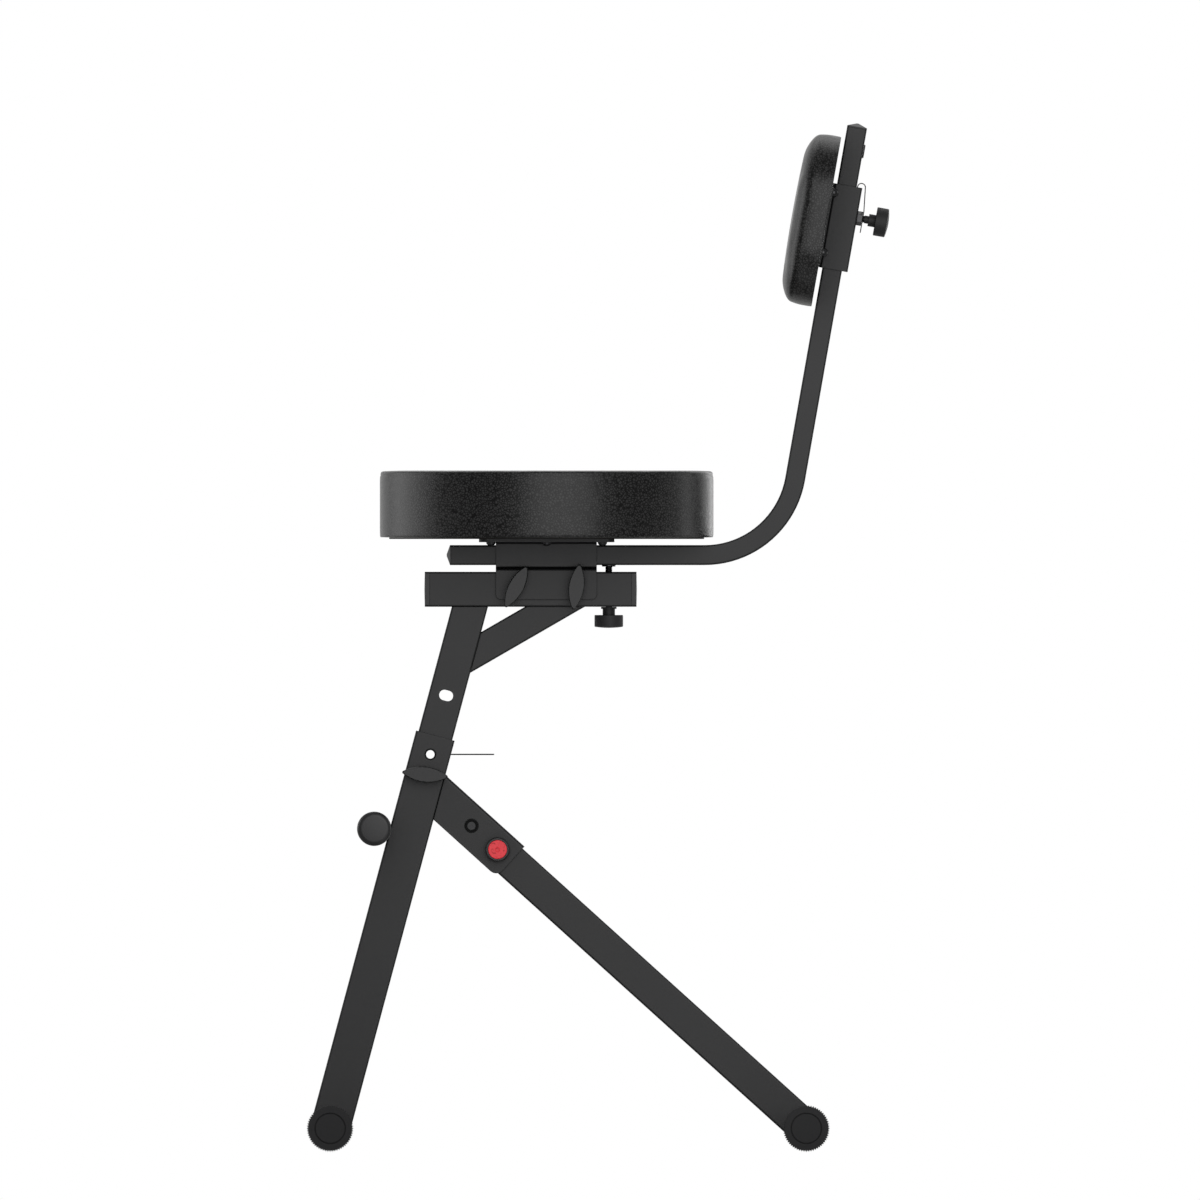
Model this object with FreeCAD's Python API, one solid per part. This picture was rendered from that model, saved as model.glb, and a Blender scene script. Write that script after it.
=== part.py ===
import FreeCAD, Part
import math
import os

# Folding stool for a guitarist: round seat, sliding backrest, telescopic front leg, folding rear leg.
# Millimetres and degrees. +X points to the rear, +Y to the sitter's right, +Z up, floor at Z = 0.

# Tube stock
TUBE_WALL = 2.0
TUBE_CORNER = 2.0
SLEEVE_WIDTH = 40.0
POST_GAP = 0.5
BEAM_WIDTH = 35.0
BRACE_WIDTH = 30.0
REAR_LEG_WIDTH = 35.0
BAR_DEPTH = 20.0
BAR_WIDTH = 30.0
CROSS_TUBE_DIA = 38.0
WELD_GAP = 0.1

# Feet and cross tubes
FRONT_FOOT_X = -267.92
FOOT_WALL = 4.5
FOOT_TEETH = 60
FOOT_TOOTH_DEPTH = 0.75
FOOT_CAP_LENGTH = 36.0
FOOT_CAP_END = 5.0
FOOT_CHAMFER = 1.5
FOOT_RING_INSET = 7.8
FOOT_RING_WIDTH = 1.2
FOOT_RING_DEPTH = 1.0
CROSS_TUBE_LENGTH = 440.0
CAP_FIT = 0.1

# Front leg, measured down from the sleeve's top along its axis
LEG_LEAN = 15.0
SLEEVE_TOP = 406.7
SLEEVE_START = 6.0
LOCK_BELOW_TOP = 19.4
CLAMP_BELOW_TOP = 40.2
HINGE_BELOW_TOP = 77.8
FOOTREST_BELOW_TOP = 105.8
LOCK_HOLE_PLAY = 0.65

# Footrest
FOOTREST_DIA = 30.0
FOOTREST_LENGTH = 320.0
GRIP_WALL = 2.2
GRIP_LENGTH = 120.0
GRIP_END = 4.0
GRIP_ROUND = 2.5

# Folding hinge and its push-button lock
HINGE_REACH = 38.2
REAR_LEG_DROP = 42.1
HINGE_GAP = 1.0
BRACKET_WALL = 2.0
BRACKET_WEB_GAP = 0.8
BRACKET_LENGTH = 53.2
BRACKET_SKIRT = 3.4
BRACKET_BEND = 3.0
BRACKET_CORNER = 9.0
PIVOT_PIN_DIA = 8.0
PIVOT_TUBE_DIA = 14.0
PIVOT_HEAD_LAP = 0.5
PIVOT_PIN_HEAD = 3.5
STAR_WASHER = 0.6
STAR_WASHER_PLAY = 0.4
STAR_TEETH = 6
PIVOT_WASHER_DIA = 22.0
RUN_FIT = 0.05
FACE_GAP = 0.1
BUTTON_REACH = 35.2
BUTTON_DIA = 18.7
BUTTON_TRAVEL = 4.0
BUTTON_FACE = 2.5
BUTTON_SKIRT = 3.0
BUTTON_WALL = 2.0
BUTTON_DIMPLE_DIA = 5.0
BUTTON_DIMPLE = 0.6
BUTTON_PROUD = 2.0
HOUSING_WALL = 2.75
HOUSING_FLOOR = 1.5
LOCK_ROD_DIA = 8.0
LOCK_ROD_PLAY = 0.3
LOCK_COLLAR_STEP = 2.0
LOCK_COLLAR = 3.7
LOCK_ROD_TAIL = 1.5
LOCK_PLAY = 0.3
FOLD_ANGLE = 63.0
SPRING_WALL = 1.5
SPRING_PLAY = 0.4
SPRING_SPACE = 8.0

# Height lock pin
POST_EXPOSED = 133.4
POST_INSIDE = 157.0
HEIGHT_PITCH = 61.0
HEIGHT_HOLES = 3
POST_SLOT_LENGTH = 14.0
POST_SLOT_PLAY = 0.25
LOCK_PIN_DIA = 10.0
LOCK_PIN_WALL = 0.8
LOCK_PIN_FLANGE_DIA = 24.0
LOCK_PIN_FLANGE = 3.0
LOCK_PIN_PROUD = 0.5
PIN_GUIDE_WALL = 2.0
PIN_GUIDE_LENGTH = 12.0
PIN_PARK_GAP = 1.0
PIN_STOP_GAP = 0.2
LOOP_WIRE = 1.3
LOOP_REACH = 64.0
LOOP_WIDTH = 24.0
LOOP_EYE_EDGE = 3.3
LOOP_EYE_PLAY = 0.45

# Wing screws and round knobs; a stud is drawn plain, at the mean diameter of its thread
STUD_DIA = 7.2
STUD_FIT = 0.1
STUD_PLAY = 0.4
STUD_TIP_GAP = 0.3
WELD_NUT_DIA = 14.0
WELD_NUT_LENGTH = 5.5
WING_GAP = 1.0
WING_LENGTH = 45.8
WING_WIDTH = 15.5
WING_HEIGHT = 14.0
WING_SHOULDER = 8.0
WING_TIP = 1.6
WING_HUB_LENGTH = 15.0
WING_HUB_WIDTH = 13.0
WING_HUB_TIP = 5.0
WING_FACE_INSET = 1.2
HEIGHT_WING_TURN = -6.0
SEAT_WING_TURNS = (62.4, 82.0)
SEAT_WING_SPACING = 60.3

# Mast: beam, brace and the bent backrest bar
BEAM_OVERHANG = 45.6
BEAM_TAIL = 28.2
BEAM_CAP = 4.8
BEAM_CAP_CROWN = 0.5
POST_PLUG_FLANGE = 4.0
CAP_PLUG = 14.0
BRACE_ANGLE = 30.0
BRACE_REACH = 84.9
BAR_SETBACK = 27.1
BAR_RUN = 253.3
BAR_BEND_RADIUS = 91.8
BAR_TILT = 10.0
BAR_UPRIGHT = 356.5
BAR_CAP_FLANGE = 1.4
BAR_CAP_PEAK = 3.3
CAP_PEAK_WIDTH = 2.0
BAR_KNOB_BEHIND = 12.0
RIVET_FLANGE_DIA = 13.8
RIVET_FLANGE = 1.5
RIVET_BODY_DIA = 10.8
RIVET_BULGE_DIA = 12.6
RIVET_BULGE = 3.0
RIVET_LENGTH = 13.0
RIVET_CHAMFER = 0.5
ACCESSORY_THREAD_DIA = 6.8
ACCESSORY_BELOW_TOP = 21.8

# Seat
SEAT_DIA = 334.5
SEAT_PAD = 67.0
SEAT_PAD_ROUND = 3.5
SEAT_PAD_LOW_ROUND = 1.5
SEAT_BOARD_INSET = 9.75
SEAT_BOARD = 12.0
SEAT_BOARD_SHOWS = 1.2
SEAT_PLATE_END = 12.0
SEAT_PLATE_SIDE = 15.0
SEAT_PLATE = 3.2
SEAT_PLATE_CORNER = 8.0
SEAT_SCREW_PITCH = 55.75
SEAT_SCREW_ROWS = 70.0
SCREW_HEAD_DIA = 9.6
SCREW_HEAD = 3.9
SCREW_DIA = 5.0
SCREW_COVER = 1.2
SCREW_FIT = 0.1
BRACKET_RUN = 101.0
BRACKET_SETBACK = 71.5
BRACKET_AHEAD = 0.4
SADDLE_GAP = 0.6
SADDLE_WALL = 3.2
SADDLE_SKIRT = 27.7
SADDLE_CORNER = 5.0
SADDLE_BEND = 3.0
SADDLE_SCREW_DROP = 15.1
TUNNEL_WALL = 2.4
BAR_GAP = 0.5

# Backrest, measured up the straight of the bar from the end of its bend
BACK_SLEEVE_BELOW_TOP = 58.1
BACK_SLEEVE_LENGTH = 85.4
BACK_SLEEVE_WALL = 2.0
BACK_SLEEVE_GAP = 0.3
BACK_CLAMP_SPACE = 3.7
BACK_PLATE = 1.5
BACK_PLATE_WIDTH = 90.0
BACK_PLATE_CORNER = 6.0
BACK_SCREW_FROM_LOW = 15.2
BACK_SCREW_FROM_TOP = 9.4
BACK_SCREW_ROWS = 60.0
BACK_SCREW_HEAD = 5.6
BACK_PAD_LOW = -40.0
BACK_PAD_HEIGHT = 172.0
BACK_PAD_WIDTH = 290.0
BACK_PAD_CORNER = 62.0
BACK_PAD = 34.6
BACK_PAD_WALL = 20.0
BACK_PAD_ROUND = 30.0
BACK_PAD_ROUND_STEPS = 5
BACK_PAD_CROWN = 1.2
BACK_PAD_FACE_CORNER = 16.0
BACK_BOARD = 9.0
BACK_BOARD_INSET = 11.0
SOFT_GAP = 0.3
BACK_KNOB_FROM_TOP = 30.4
BACK_NUT_HEIGHT = 14.4
BACK_NUT = 5.0
CLIP_THICK = 1.0
CLIP_WIDTH = 12.0
CLIP_BAR_GAP = 0.3
CLIP_RISE = 0.6
CLIP_INNER = 55.0
CLIP_TAIL = 14.0
CLIP_HOLE_DIA = 9.0

# Round knob profile
KNOB_DIA = 28.6
KNOB_HEIGHT = 10.4
KNOB_CROWN = 1.0
KNOB_ROUND = 2.0
KNOB_NECK_DIA = 12.4
KNOB_FLANGE_DIA = 15.5
KNOB_FLANGE = 2.0
BAR_KNOB_NECK = 9.6
BACK_KNOB_NECK = 7.8
BACK_KNOB_STANDOFF = 7.3

X_AXIS = FreeCAD.Vector(1, 0, 0)
Y_AXIS = FreeCAD.Vector(0, 1, 0)
Z_AXIS = FreeCAD.Vector(0, 0, 1)
OVERCUT = 1.0
FAR = 200.0


def vec(x, y, z):
    return FreeCAD.Vector(x, y, z)


def polar(radius, degrees):
    angle = math.radians(degrees)
    return vec(radius * math.cos(angle), radius * math.sin(angle), 0)


def frame(origin, tilt):
    """Local frame at a point, turned about Y: its Z leans to the rear by the tilt."""
    return FreeCAD.Placement(origin, FreeCAD.Rotation(Y_AXIS, tilt))


def put(shape, place):
    return shape.transformed(place.toMatrix(), True)


def shifted(shape, x, y, z):
    return shape.translated(vec(x, y, z))


# Places worked out from the driving sizes
FOOT_DIA = CROSS_TUBE_DIA + 2 * FOOT_WALL
FOOT_RADIUS = FOOT_DIA / 2
LEG = frame(vec(FRONT_FOOT_X, 0, FOOT_RADIUS), LEG_LEAN)
LOCK_ALONG = SLEEVE_TOP - LOCK_BELOW_TOP
CLAMP_ALONG = SLEEVE_TOP - CLAMP_BELOW_TOP
HINGE_ALONG = SLEEVE_TOP - HINGE_BELOW_TOP
FOOTREST_ALONG = SLEEVE_TOP - FOOTREST_BELOW_TOP
HINGE_POINT = LEG.multVec(vec(SLEEVE_WIDTH / 2 + HINGE_REACH, 0, HINGE_ALONG))
REAR = frame(HINGE_POINT, REAR_LEG_DROP)
REAR_LEG_LENGTH = (HINGE_POINT.z - FOOT_RADIUS) / math.sin(math.radians(REAR_LEG_DROP))
REAR_FOOT = REAR.multVec(vec(REAR_LEG_LENGTH, 0, 0))
LOCK_POINT = LEG.multVec(vec(0, 0, LOCK_ALONG))
POST_WIDTH = SLEEVE_WIDTH - 2 * TUBE_WALL - 2 * POST_GAP
POST_HEAD = LEG.multVec(vec(0, 0, SLEEVE_TOP + POST_EXPOSED))
BEAM_FRONT = POST_HEAD.x - BEAM_OVERHANG
BEAM_LOW = POST_HEAD.z
BEAM_TOP = BEAM_LOW + BEAM_WIDTH
SADDLE_TOP = BEAM_TOP + SADDLE_GAP + SADDLE_WALL
BAR_LOW = SADDLE_TOP + TUNNEL_WALL + BAR_GAP
BAR_AXIS = BAR_LOW + BAR_DEPTH / 2
TUNNEL_TOP = BAR_LOW + BAR_DEPTH + BAR_GAP + TUNNEL_WALL
PLATE_TOP = TUNNEL_TOP + SEAT_PLATE
BRACKET_FRONT = BEAM_FRONT + BRACKET_SETBACK
SEAT_X = BRACKET_FRONT + BRACKET_RUN / 2 + BRACKET_AHEAD
SEAT_SCREW_Z = BEAM_TOP - SADDLE_SCREW_DROP
SADDLE_HALF = BEAM_WIDTH / 2 + SADDLE_GAP + SADDLE_WALL
BAR_FRONT = BEAM_FRONT + BAR_SETBACK
BAR_KNOB_X = BRACKET_FRONT + BRACKET_RUN + BAR_KNOB_BEHIND
BEND_START = vec(BAR_FRONT + BAR_RUN, 0, BAR_AXIS)
BEND_CENTRE = BEND_START + Z_AXIS * BAR_BEND_RADIUS
BACK = frame(BEND_CENTRE, BAR_TILT).multiply(frame(vec(BAR_BEND_RADIUS, 0, 0), 0))
CHEEK_IN = REAR_LEG_WIDTH / 2 + HINGE_GAP
CHEEK_OUT = CHEEK_IN + BRACKET_WALL
BACK_SLEEVE_FRONT = -BAR_DEPTH / 2 - BACK_SLEEVE_GAP - BACK_SLEEVE_WALL
BACK_SLEEVE_REAR = BAR_DEPTH / 2 + BACK_CLAMP_SPACE + BACK_SLEEVE_WALL
BACK_PAD_REAR = BACK_SLEEVE_FRONT - BACK_PLATE
BACK_SLEEVE_TOP = BAR_UPRIGHT - BACK_SLEEVE_BELOW_TOP
BACK_SLEEVE_LOW = BACK_SLEEVE_TOP - BACK_SLEEVE_LENGTH
BACK_KNOB_S = BACK_SLEEVE_TOP - BACK_KNOB_FROM_TOP
LOCK_COLLAR_DIA = LOCK_ROD_DIA + 2 * LOCK_COLLAR_STEP
SCREW_HOLE_DIA = SCREW_DIA + 2 * SCREW_FIT
STUD_HOLE_DIA = STUD_DIA + STUD_PLAY


def rounded_rect(width, depth, radius):
    """Closed outline on the XY plane, centred: width along X, depth along Y."""
    half_x = width / 2 - radius
    half_y = depth / 2 - radius
    arcs = []
    for x, y, start in ((1, 1, 0), (-1, 1, 90), (-1, -1, 180), (1, -1, 270)):
        centre = vec(x * half_x, y * half_y, 0)
        arcs.append([centre + polar(radius, start + turn) for turn in (0, 45, 90)])
    edges = []
    for index, (first, middle, last) in enumerate(arcs):
        following = arcs[(index + 1) % len(arcs)][0]
        edges.append(Part.Arc(first, middle, last).toShape())
        edges.append(Part.LineSegment(last, following).toShape())
    return Part.Wire(edges)


def leaf(length, width, tip):
    """Outline of a leaf on the XY plane: two long arcs that run into two small round tips."""
    reach = length / 2 - tip
    half = width / 2
    side = (reach ** 2 + half ** 2 - tip ** 2) / (2 * (half - tip))
    x = reach + tip * reach / (side - tip)
    y = tip * (side - half) / (side - tip)
    upper = Part.Arc(vec(x, y, 0), vec(0, half, 0), vec(-x, y, 0))
    left = Part.Arc(vec(-x, y, 0), vec(-length / 2, 0, 0), vec(-x, -y, 0))
    lower = Part.Arc(vec(-x, -y, 0), vec(0, -half, 0), vec(x, -y, 0))
    right = Part.Arc(vec(x, -y, 0), vec(length / 2, 0, 0), vec(x, y, 0))
    return Part.Wire([arc.toShape() for arc in (upper, left, lower, right)])


def polygon(points):
    """Closed wire through flat points given as (x, y)."""
    corners = [vec(x, y, 0) for x, y in points]
    return Part.makePolygon(corners + corners[:1])


def prism(outline, height):
    return Part.Face(outline).extrude(Z_AXIS * height)


def block(low, high):
    size = high - low
    return Part.makeBox(size.x, size.y, size.z, low)


def rod(dia, start, direction, length):
    return Part.makeCylinder(dia / 2, length, start, direction)


def y_rod(dia, x, z, y_from, y_to):
    return rod(dia, vec(x, y_from, z), Y_AXIS, y_to - y_from)


def pipe_y(outer, bore, y_from, y_to):
    """Round tube on the Y axis."""
    wall = y_rod(outer, 0, 0, y_from, y_to)
    return wall.cut(y_rod(bore, 0, 0, y_from - OVERCUT, y_to + OVERCUT))


def turned(points):
    """Solid turned about Z from (radius, height) points; four numbers are an arc through the first two."""
    edges = []
    last = vec(points[0][0], 0, points[0][1])
    for point in points[1:] + points[:1]:
        end = vec(point[-2], 0, point[-1])
        if end == last:
            continue
        if len(point) > 2:
            edges.append(Part.Arc(last, vec(point[0], 0, point[1]), end).toShape())
        else:
            edges.append(Part.LineSegment(last, end).toShape())
        last = end
    return Part.Face(Part.Wire(edges)).revolve(vec(0, 0, 0), Z_AXIS, 360)


def dome_middle(radius, rise):
    """Middle of the arc of a dome, as a radius and a drop below its top."""
    ball = (radius ** 2 + rise ** 2) / (2 * rise)
    half = math.asin(radius / ball) / 2
    return ball * math.sin(half), ball * (1 - math.cos(half))


def level_edges(shape, height):
    """Edges that lie wholly at one height."""
    found = []
    for edge in shape.Edges:
        box = edge.BoundBox
        if abs(box.ZMin - height) < 1e-4 and abs(box.ZMax - height) < 1e-4:
            found.append(edge)
    return found


def edges_along(shape, direction, test):
    """Straight edges along a direction whose midpoint passes a test."""
    found = []
    for edge in shape.Edges:
        if isinstance(edge.Curve, Part.Line) and abs(abs(edge.Curve.Direction.dot(direction)) - 1) < 1e-6:
            if test(edge.CenterOfMass):
                found.append(edge)
    return found


def flat_tube(width, depth, wall, length):
    """Flat-sided tube standing on the XY plane."""
    outer = prism(rounded_rect(width, depth, TUBE_CORNER), length)
    inner = vec(width / 2 - wall, depth / 2 - wall, 0)
    return outer.cut(block(vec(-inner.x, -inner.y, -OVERCUT), vec(inner.x, inner.y, length + OVERCUT)))


def facing(side, away, x, z, turn=0.0):
    """Place at a distance from the centre plane whose Z points out: side -1 is left, 1 is right."""
    lie = FreeCAD.Rotation(X_AXIS, -90 * side)
    return FreeCAD.Placement(vec(x, side * away, z), lie.multiply(FreeCAD.Rotation(Z_AXIS, turn)))


# Feet, cross tubes and footrest
def foot_cap():
    """Push-on rubber cap with a toothed rim, standing on its open end."""
    root = FOOT_RADIUS - FOOT_TOOTH_DEPTH
    step = 360.0 / FOOT_TEETH
    rim = []
    for tooth in range(FOOT_TEETH):
        for radius, angle in ((FOOT_RADIUS, tooth * step), (root, (tooth + 0.5) * step)):
            tip = polar(radius, angle - 90)
            rim.append((tip.x, tip.y))
    cap = prism(polygon(rim), FOOT_CAP_LENGTH)
    slope = FOOT_CAP_LENGTH - FOOT_CHAMFER - FOOT_RADIUS
    bevel = turned([(0, -OVERCUT), (FOOT_DIA, -OVERCUT), (FOOT_DIA, slope),
                    (FOOT_RADIUS - FOOT_CHAMFER, FOOT_CAP_LENGTH), (0, FOOT_CAP_LENGTH)])
    bore = CROSS_TUBE_DIA / 2 + CAP_FIT
    cap = cap.common(bevel).cut(Part.makeCylinder(bore, FOOT_CAP_LENGTH - FOOT_CAP_END))
    ring = FOOT_RADIUS - FOOT_RING_INSET
    low = FOOT_CAP_LENGTH - FOOT_RING_DEPTH
    groove = turned([(ring - FOOT_RING_WIDTH, low), (ring, low), (ring, FOOT_CAP_LENGTH + OVERCUT),
                     (ring - FOOT_RING_WIDTH, FOOT_CAP_LENGTH + OVERCUT)])
    return cap.cut(groove)


def cross_foot(name, centre):
    """Cross tube with a cap pushed on each end."""
    half = CROSS_TUBE_LENGTH / 2
    tube = pipe_y(CROSS_TUBE_DIA, CROSS_TUBE_DIA - 2 * TUBE_WALL, -half, half)
    cap = foot_cap()
    seat = half + FOOT_CAP_END - FOOT_CAP_LENGTH + CAP_FIT
    return {
        name + "_cross_tube": shifted(tube, centre.x, 0, centre.z),
        name + "_foot_left": put(cap, facing(-1, seat, centre.x, centre.z)),
        name + "_foot_right": put(cap, facing(1, seat, centre.x, centre.z)),
    }


def footrest():
    """Round bar tangent to the sleeve's front face, with a closed rubber grip on each end."""
    half = FOOTREST_LENGTH / 2
    tube = pipe_y(FOOTREST_DIA, FOOTREST_DIA - 2 * TUBE_WALL, -half, half)
    radius = FOOTREST_DIA / 2 + GRIP_WALL
    grip = Part.makeCylinder(radius, GRIP_LENGTH)
    grip = grip.makeFillet(GRIP_ROUND, level_edges(grip, GRIP_LENGTH))
    grip = grip.cut(Part.makeCylinder(FOOTREST_DIA / 2 + CAP_FIT, GRIP_LENGTH - GRIP_END))
    spot = LEG.multVec(vec(-(SLEEVE_WIDTH + FOOTREST_DIA) / 2, 0, FOOTREST_ALONG))
    seat = half + GRIP_END - GRIP_LENGTH + CAP_FIT
    return {
        "footrest_tube": shifted(tube, spot.x, 0, spot.z),
        "footrest_grip_left": put(grip, facing(-1, seat, spot.x, spot.z)),
        "footrest_grip_right": put(grip, facing(1, seat, spot.x, spot.z)),
    }


# Front leg
def front_leg_sleeve():
    """Square tube, notched over the cross tube, with the pin holes and the clamp screw's hole."""
    half = SLEEVE_WIDTH / 2
    sleeve = flat_tube(SLEEVE_WIDTH, SLEEVE_WIDTH, TUBE_WALL, SLEEVE_TOP - SLEEVE_START)
    sleeve = shifted(sleeve, 0, 0, SLEEVE_START)
    sleeve = sleeve.cut(y_rod(CROSS_TUBE_DIA + 2 * WELD_GAP, 0, 0, -SLEEVE_WIDTH, SLEEVE_WIDTH))
    lock_hole = LOCK_PIN_DIA + 2 * LOCK_HOLE_PLAY
    sleeve = sleeve.cut(y_rod(lock_hole, 0, LOCK_ALONG, -half - OVERCUT, half + OVERCUT))
    sleeve = sleeve.cut(y_rod(STUD_HOLE_DIA, 0, CLAMP_ALONG, -half - OVERCUT, 0))
    return put(sleeve, LEG)


def weld_nut():
    """Round weld nut standing on the face that it is welded to, with a chamfered mouth."""
    radius = WELD_NUT_DIA / 2
    bore = STUD_DIA / 2 + STUD_FIT
    edge = (radius - bore) / 4
    return turned([(bore, 0), (radius, 0), (radius, WELD_NUT_LENGTH - edge),
                   (radius - edge, WELD_NUT_LENGTH), (bore, WELD_NUT_LENGTH)])


def pin_guide():
    """Welded bush on the far wall that keeps the height pin square to the leg."""
    half = SLEEVE_WIDTH / 2
    bore = LOCK_PIN_DIA + 2 * RUN_FIT
    bush = pipe_y(bore + 2 * PIN_GUIDE_WALL, bore, half, half + PIN_GUIDE_LENGTH)
    return shifted(bush, LOCK_POINT.x, 0, LOCK_POINT.z)


def lock_pin():
    """Hollow pin, parked clear of the post, and the wire loop through the ear of its flange."""
    half = SLEEVE_WIDTH / 2
    tip = POST_WIDTH / 2 + PIN_PARK_GAP
    travel = tip + half + LOCK_PIN_PROUD
    collar = half + PIN_GUIDE_LENGTH + PIN_STOP_GAP + travel
    back = collar + LOCK_PIN_FLANGE
    pin = y_rod(LOCK_PIN_DIA, 0, 0, tip, back).fuse(y_rod(LOCK_PIN_FLANGE_DIA, 0, 0, collar, back))
    pin = pin.cut(y_rod(LOCK_PIN_DIA - 2 * LOCK_PIN_WALL, 0, 0, tip - OVERCUT, back + OVERCUT))
    eye = LOCK_PIN_FLANGE_DIA / 2 - LOOP_EYE_EDGE
    eye_hole = y_rod(LOOP_WIRE + 2 * LOOP_EYE_PLAY, eye, 0, collar - OVERCUT, back + OVERCUT)
    pin = pin.cut(eye_hole).removeSplitter()

    bow = (LOOP_WIDTH - LOOP_WIRE) / 2
    first = eye + bow
    last = LOOP_REACH - LOOP_WIRE / 2 - bow
    middle = (collar + back) / 2
    near = middle - bow
    far = middle + bow
    path = Part.Wire([
        Part.Arc(vec(first, far, 0), vec(first - bow, middle, 0), vec(first, near, 0)).toShape(),
        Part.LineSegment(vec(first, near, 0), vec(last, near, 0)).toShape(),
        Part.Arc(vec(last, near, 0), vec(last + bow, middle, 0), vec(last, far, 0)).toShape(),
        Part.LineSegment(vec(last, far, 0), vec(first, far, 0)).toShape(),
    ])
    section = Part.Wire(Part.makeCircle(LOOP_WIRE / 2, vec(first, far, 0), X_AXIS))
    loop = path.makePipeShell([section], True, False)
    return {
        "lock_pin": shifted(pin, LOCK_POINT.x, 0, LOCK_POINT.z),
        "lock_pin_loop": shifted(loop, LOCK_POINT.x, 0, LOCK_POINT.z),
    }


# Hinge, rear leg and push-button lock
def hinge_bracket():
    """Folded channel, web upwards, cut square against the sleeve's rear face."""
    top = REAR_LEG_WIDTH / 2 + BRACKET_WEB_GAP
    low = -REAR_LEG_WIDTH / 2 - BRACKET_SKIRT
    end = BRACKET_LENGTH
    outer = block(vec(-FAR, -CHEEK_OUT, low), vec(end, CHEEK_OUT, top + BRACKET_WALL))
    bends = edges_along(outer, X_AXIS, lambda middle: middle.z > 0)
    outer = outer.makeFillet(BRACKET_BEND, bends)
    corners = edges_along(outer, Y_AXIS, lambda middle: middle.x > 0 and middle.z < 0)
    outer = outer.makeFillet(BRACKET_CORNER, corners)
    channel = block(vec(-FAR - OVERCUT, -CHEEK_IN, low - OVERCUT), vec(end + OVERCUT, CHEEK_IN, top))
    bracket = outer.cut(channel)
    bracket = bracket.cut(y_rod(PIVOT_TUBE_DIA + 2 * RUN_FIT, 0, 0, -FAR, FAR))
    bracket = bracket.cut(y_rod(LOCK_ROD_DIA + LOCK_ROD_PLAY, BUTTON_REACH, 0, -FAR, 0))
    bracket = bracket.cut(y_rod(LOCK_COLLAR_DIA + LOCK_ROD_PLAY, BUTTON_REACH, 0, 0, FAR))
    ahead = block(vec(-2 * FAR, -FAR, -FAR), vec(SLEEVE_WIDTH / 2, FAR, SLEEVE_TOP + FAR))
    return put(bracket, REAR).cut(put(ahead, LEG)).removeSplitter()


def pivot_pieces():
    """Headed pin through the hinge, the star washer on its near end and two nylon washers."""
    radius = PIVOT_PIN_DIA / 2
    tube_end = CHEEK_OUT - STAR_WASHER - FACE_GAP
    pin = y_rod(PIVOT_PIN_DIA, 0, 0, -CHEEK_OUT, CHEEK_OUT)
    head_radius = PIVOT_TUBE_DIA / 2 + PIVOT_HEAD_LAP
    middle, drop = dome_middle(head_radius, PIVOT_PIN_HEAD)
    head = turned([(0, 0), (head_radius, 0), (middle, PIVOT_PIN_HEAD - drop, 0, PIVOT_PIN_HEAD)])
    pin = pin.fuse(put(head, facing(1, CHEEK_OUT, 0, 0))).removeSplitter()

    star_dia = PIVOT_TUBE_DIA - 2 * STAR_WASHER_PLAY
    star = pipe_y(star_dia, PIVOT_PIN_DIA + 2 * RUN_FIT, tube_end, tube_end + STAR_WASHER)
    notch = (star_dia / 2 + radius) / 2
    for tooth in range(STAR_TEETH):
        place = polar(radius, tooth * 360.0 / STAR_TEETH)
        star = star.cut(y_rod(notch - radius, place.x, place.y, tube_end - OVERCUT, CHEEK_OUT + OVERCUT))
    star = star.mirror(vec(0, 0, 0), Y_AXIS)

    bore = PIVOT_TUBE_DIA + 2 * RUN_FIT
    leg_side = REAR_LEG_WIDTH / 2 + FACE_GAP
    washer = pipe_y(PIVOT_WASHER_DIA, bore, leg_side, CHEEK_IN)
    washers = Part.makeCompound([washer, washer.mirror(vec(0, 0, 0), Y_AXIS)])
    shapes = {"pivot_pin": pin, "pivot_star_washer": star, "pivot_washers": washers}
    return {name: put(shape, REAR) for name, shape in shapes.items()}


def rear_leg_tube():
    """Square tube with a round upper end and the arc slot that the lock rod travels in."""
    half = REAR_LEG_WIDTH / 2
    tube = put(flat_tube(REAR_LEG_WIDTH, REAR_LEG_WIDTH, TUBE_WALL, half + REAR_LEG_LENGTH),
               FreeCAD.Placement(vec(-half, 0, 0), FreeCAD.Rotation(Y_AXIS, 90)))
    side = half + OVERCUT
    beyond = block(vec(-side, -side, -REAR_LEG_WIDTH), vec(0, side, REAR_LEG_WIDTH))
    tube = tube.cut(beyond.cut(y_rod(REAR_LEG_WIDTH, 0, 0, -REAR_LEG_WIDTH, REAR_LEG_WIDTH)))
    tube = tube.cut(y_rod(PIVOT_TUBE_DIA + 2 * WELD_GAP, 0, 0, -REAR_LEG_WIDTH, REAR_LEG_WIDTH))
    tube = tube.cut(lock_slot())
    foot = y_rod(CROSS_TUBE_DIA + 2 * WELD_GAP, REAR_LEG_LENGTH, 0, -REAR_LEG_WIDTH, REAR_LEG_WIDTH)
    trim = block(vec(REAR_LEG_LENGTH - SLEEVE_START, -REAR_LEG_WIDTH, -REAR_LEG_WIDTH),
                 vec(REAR_LEG_LENGTH + FAR, REAR_LEG_WIDTH, REAR_LEG_WIDTH))
    return put(tube.cut(foot).cut(trim), REAR)


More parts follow.
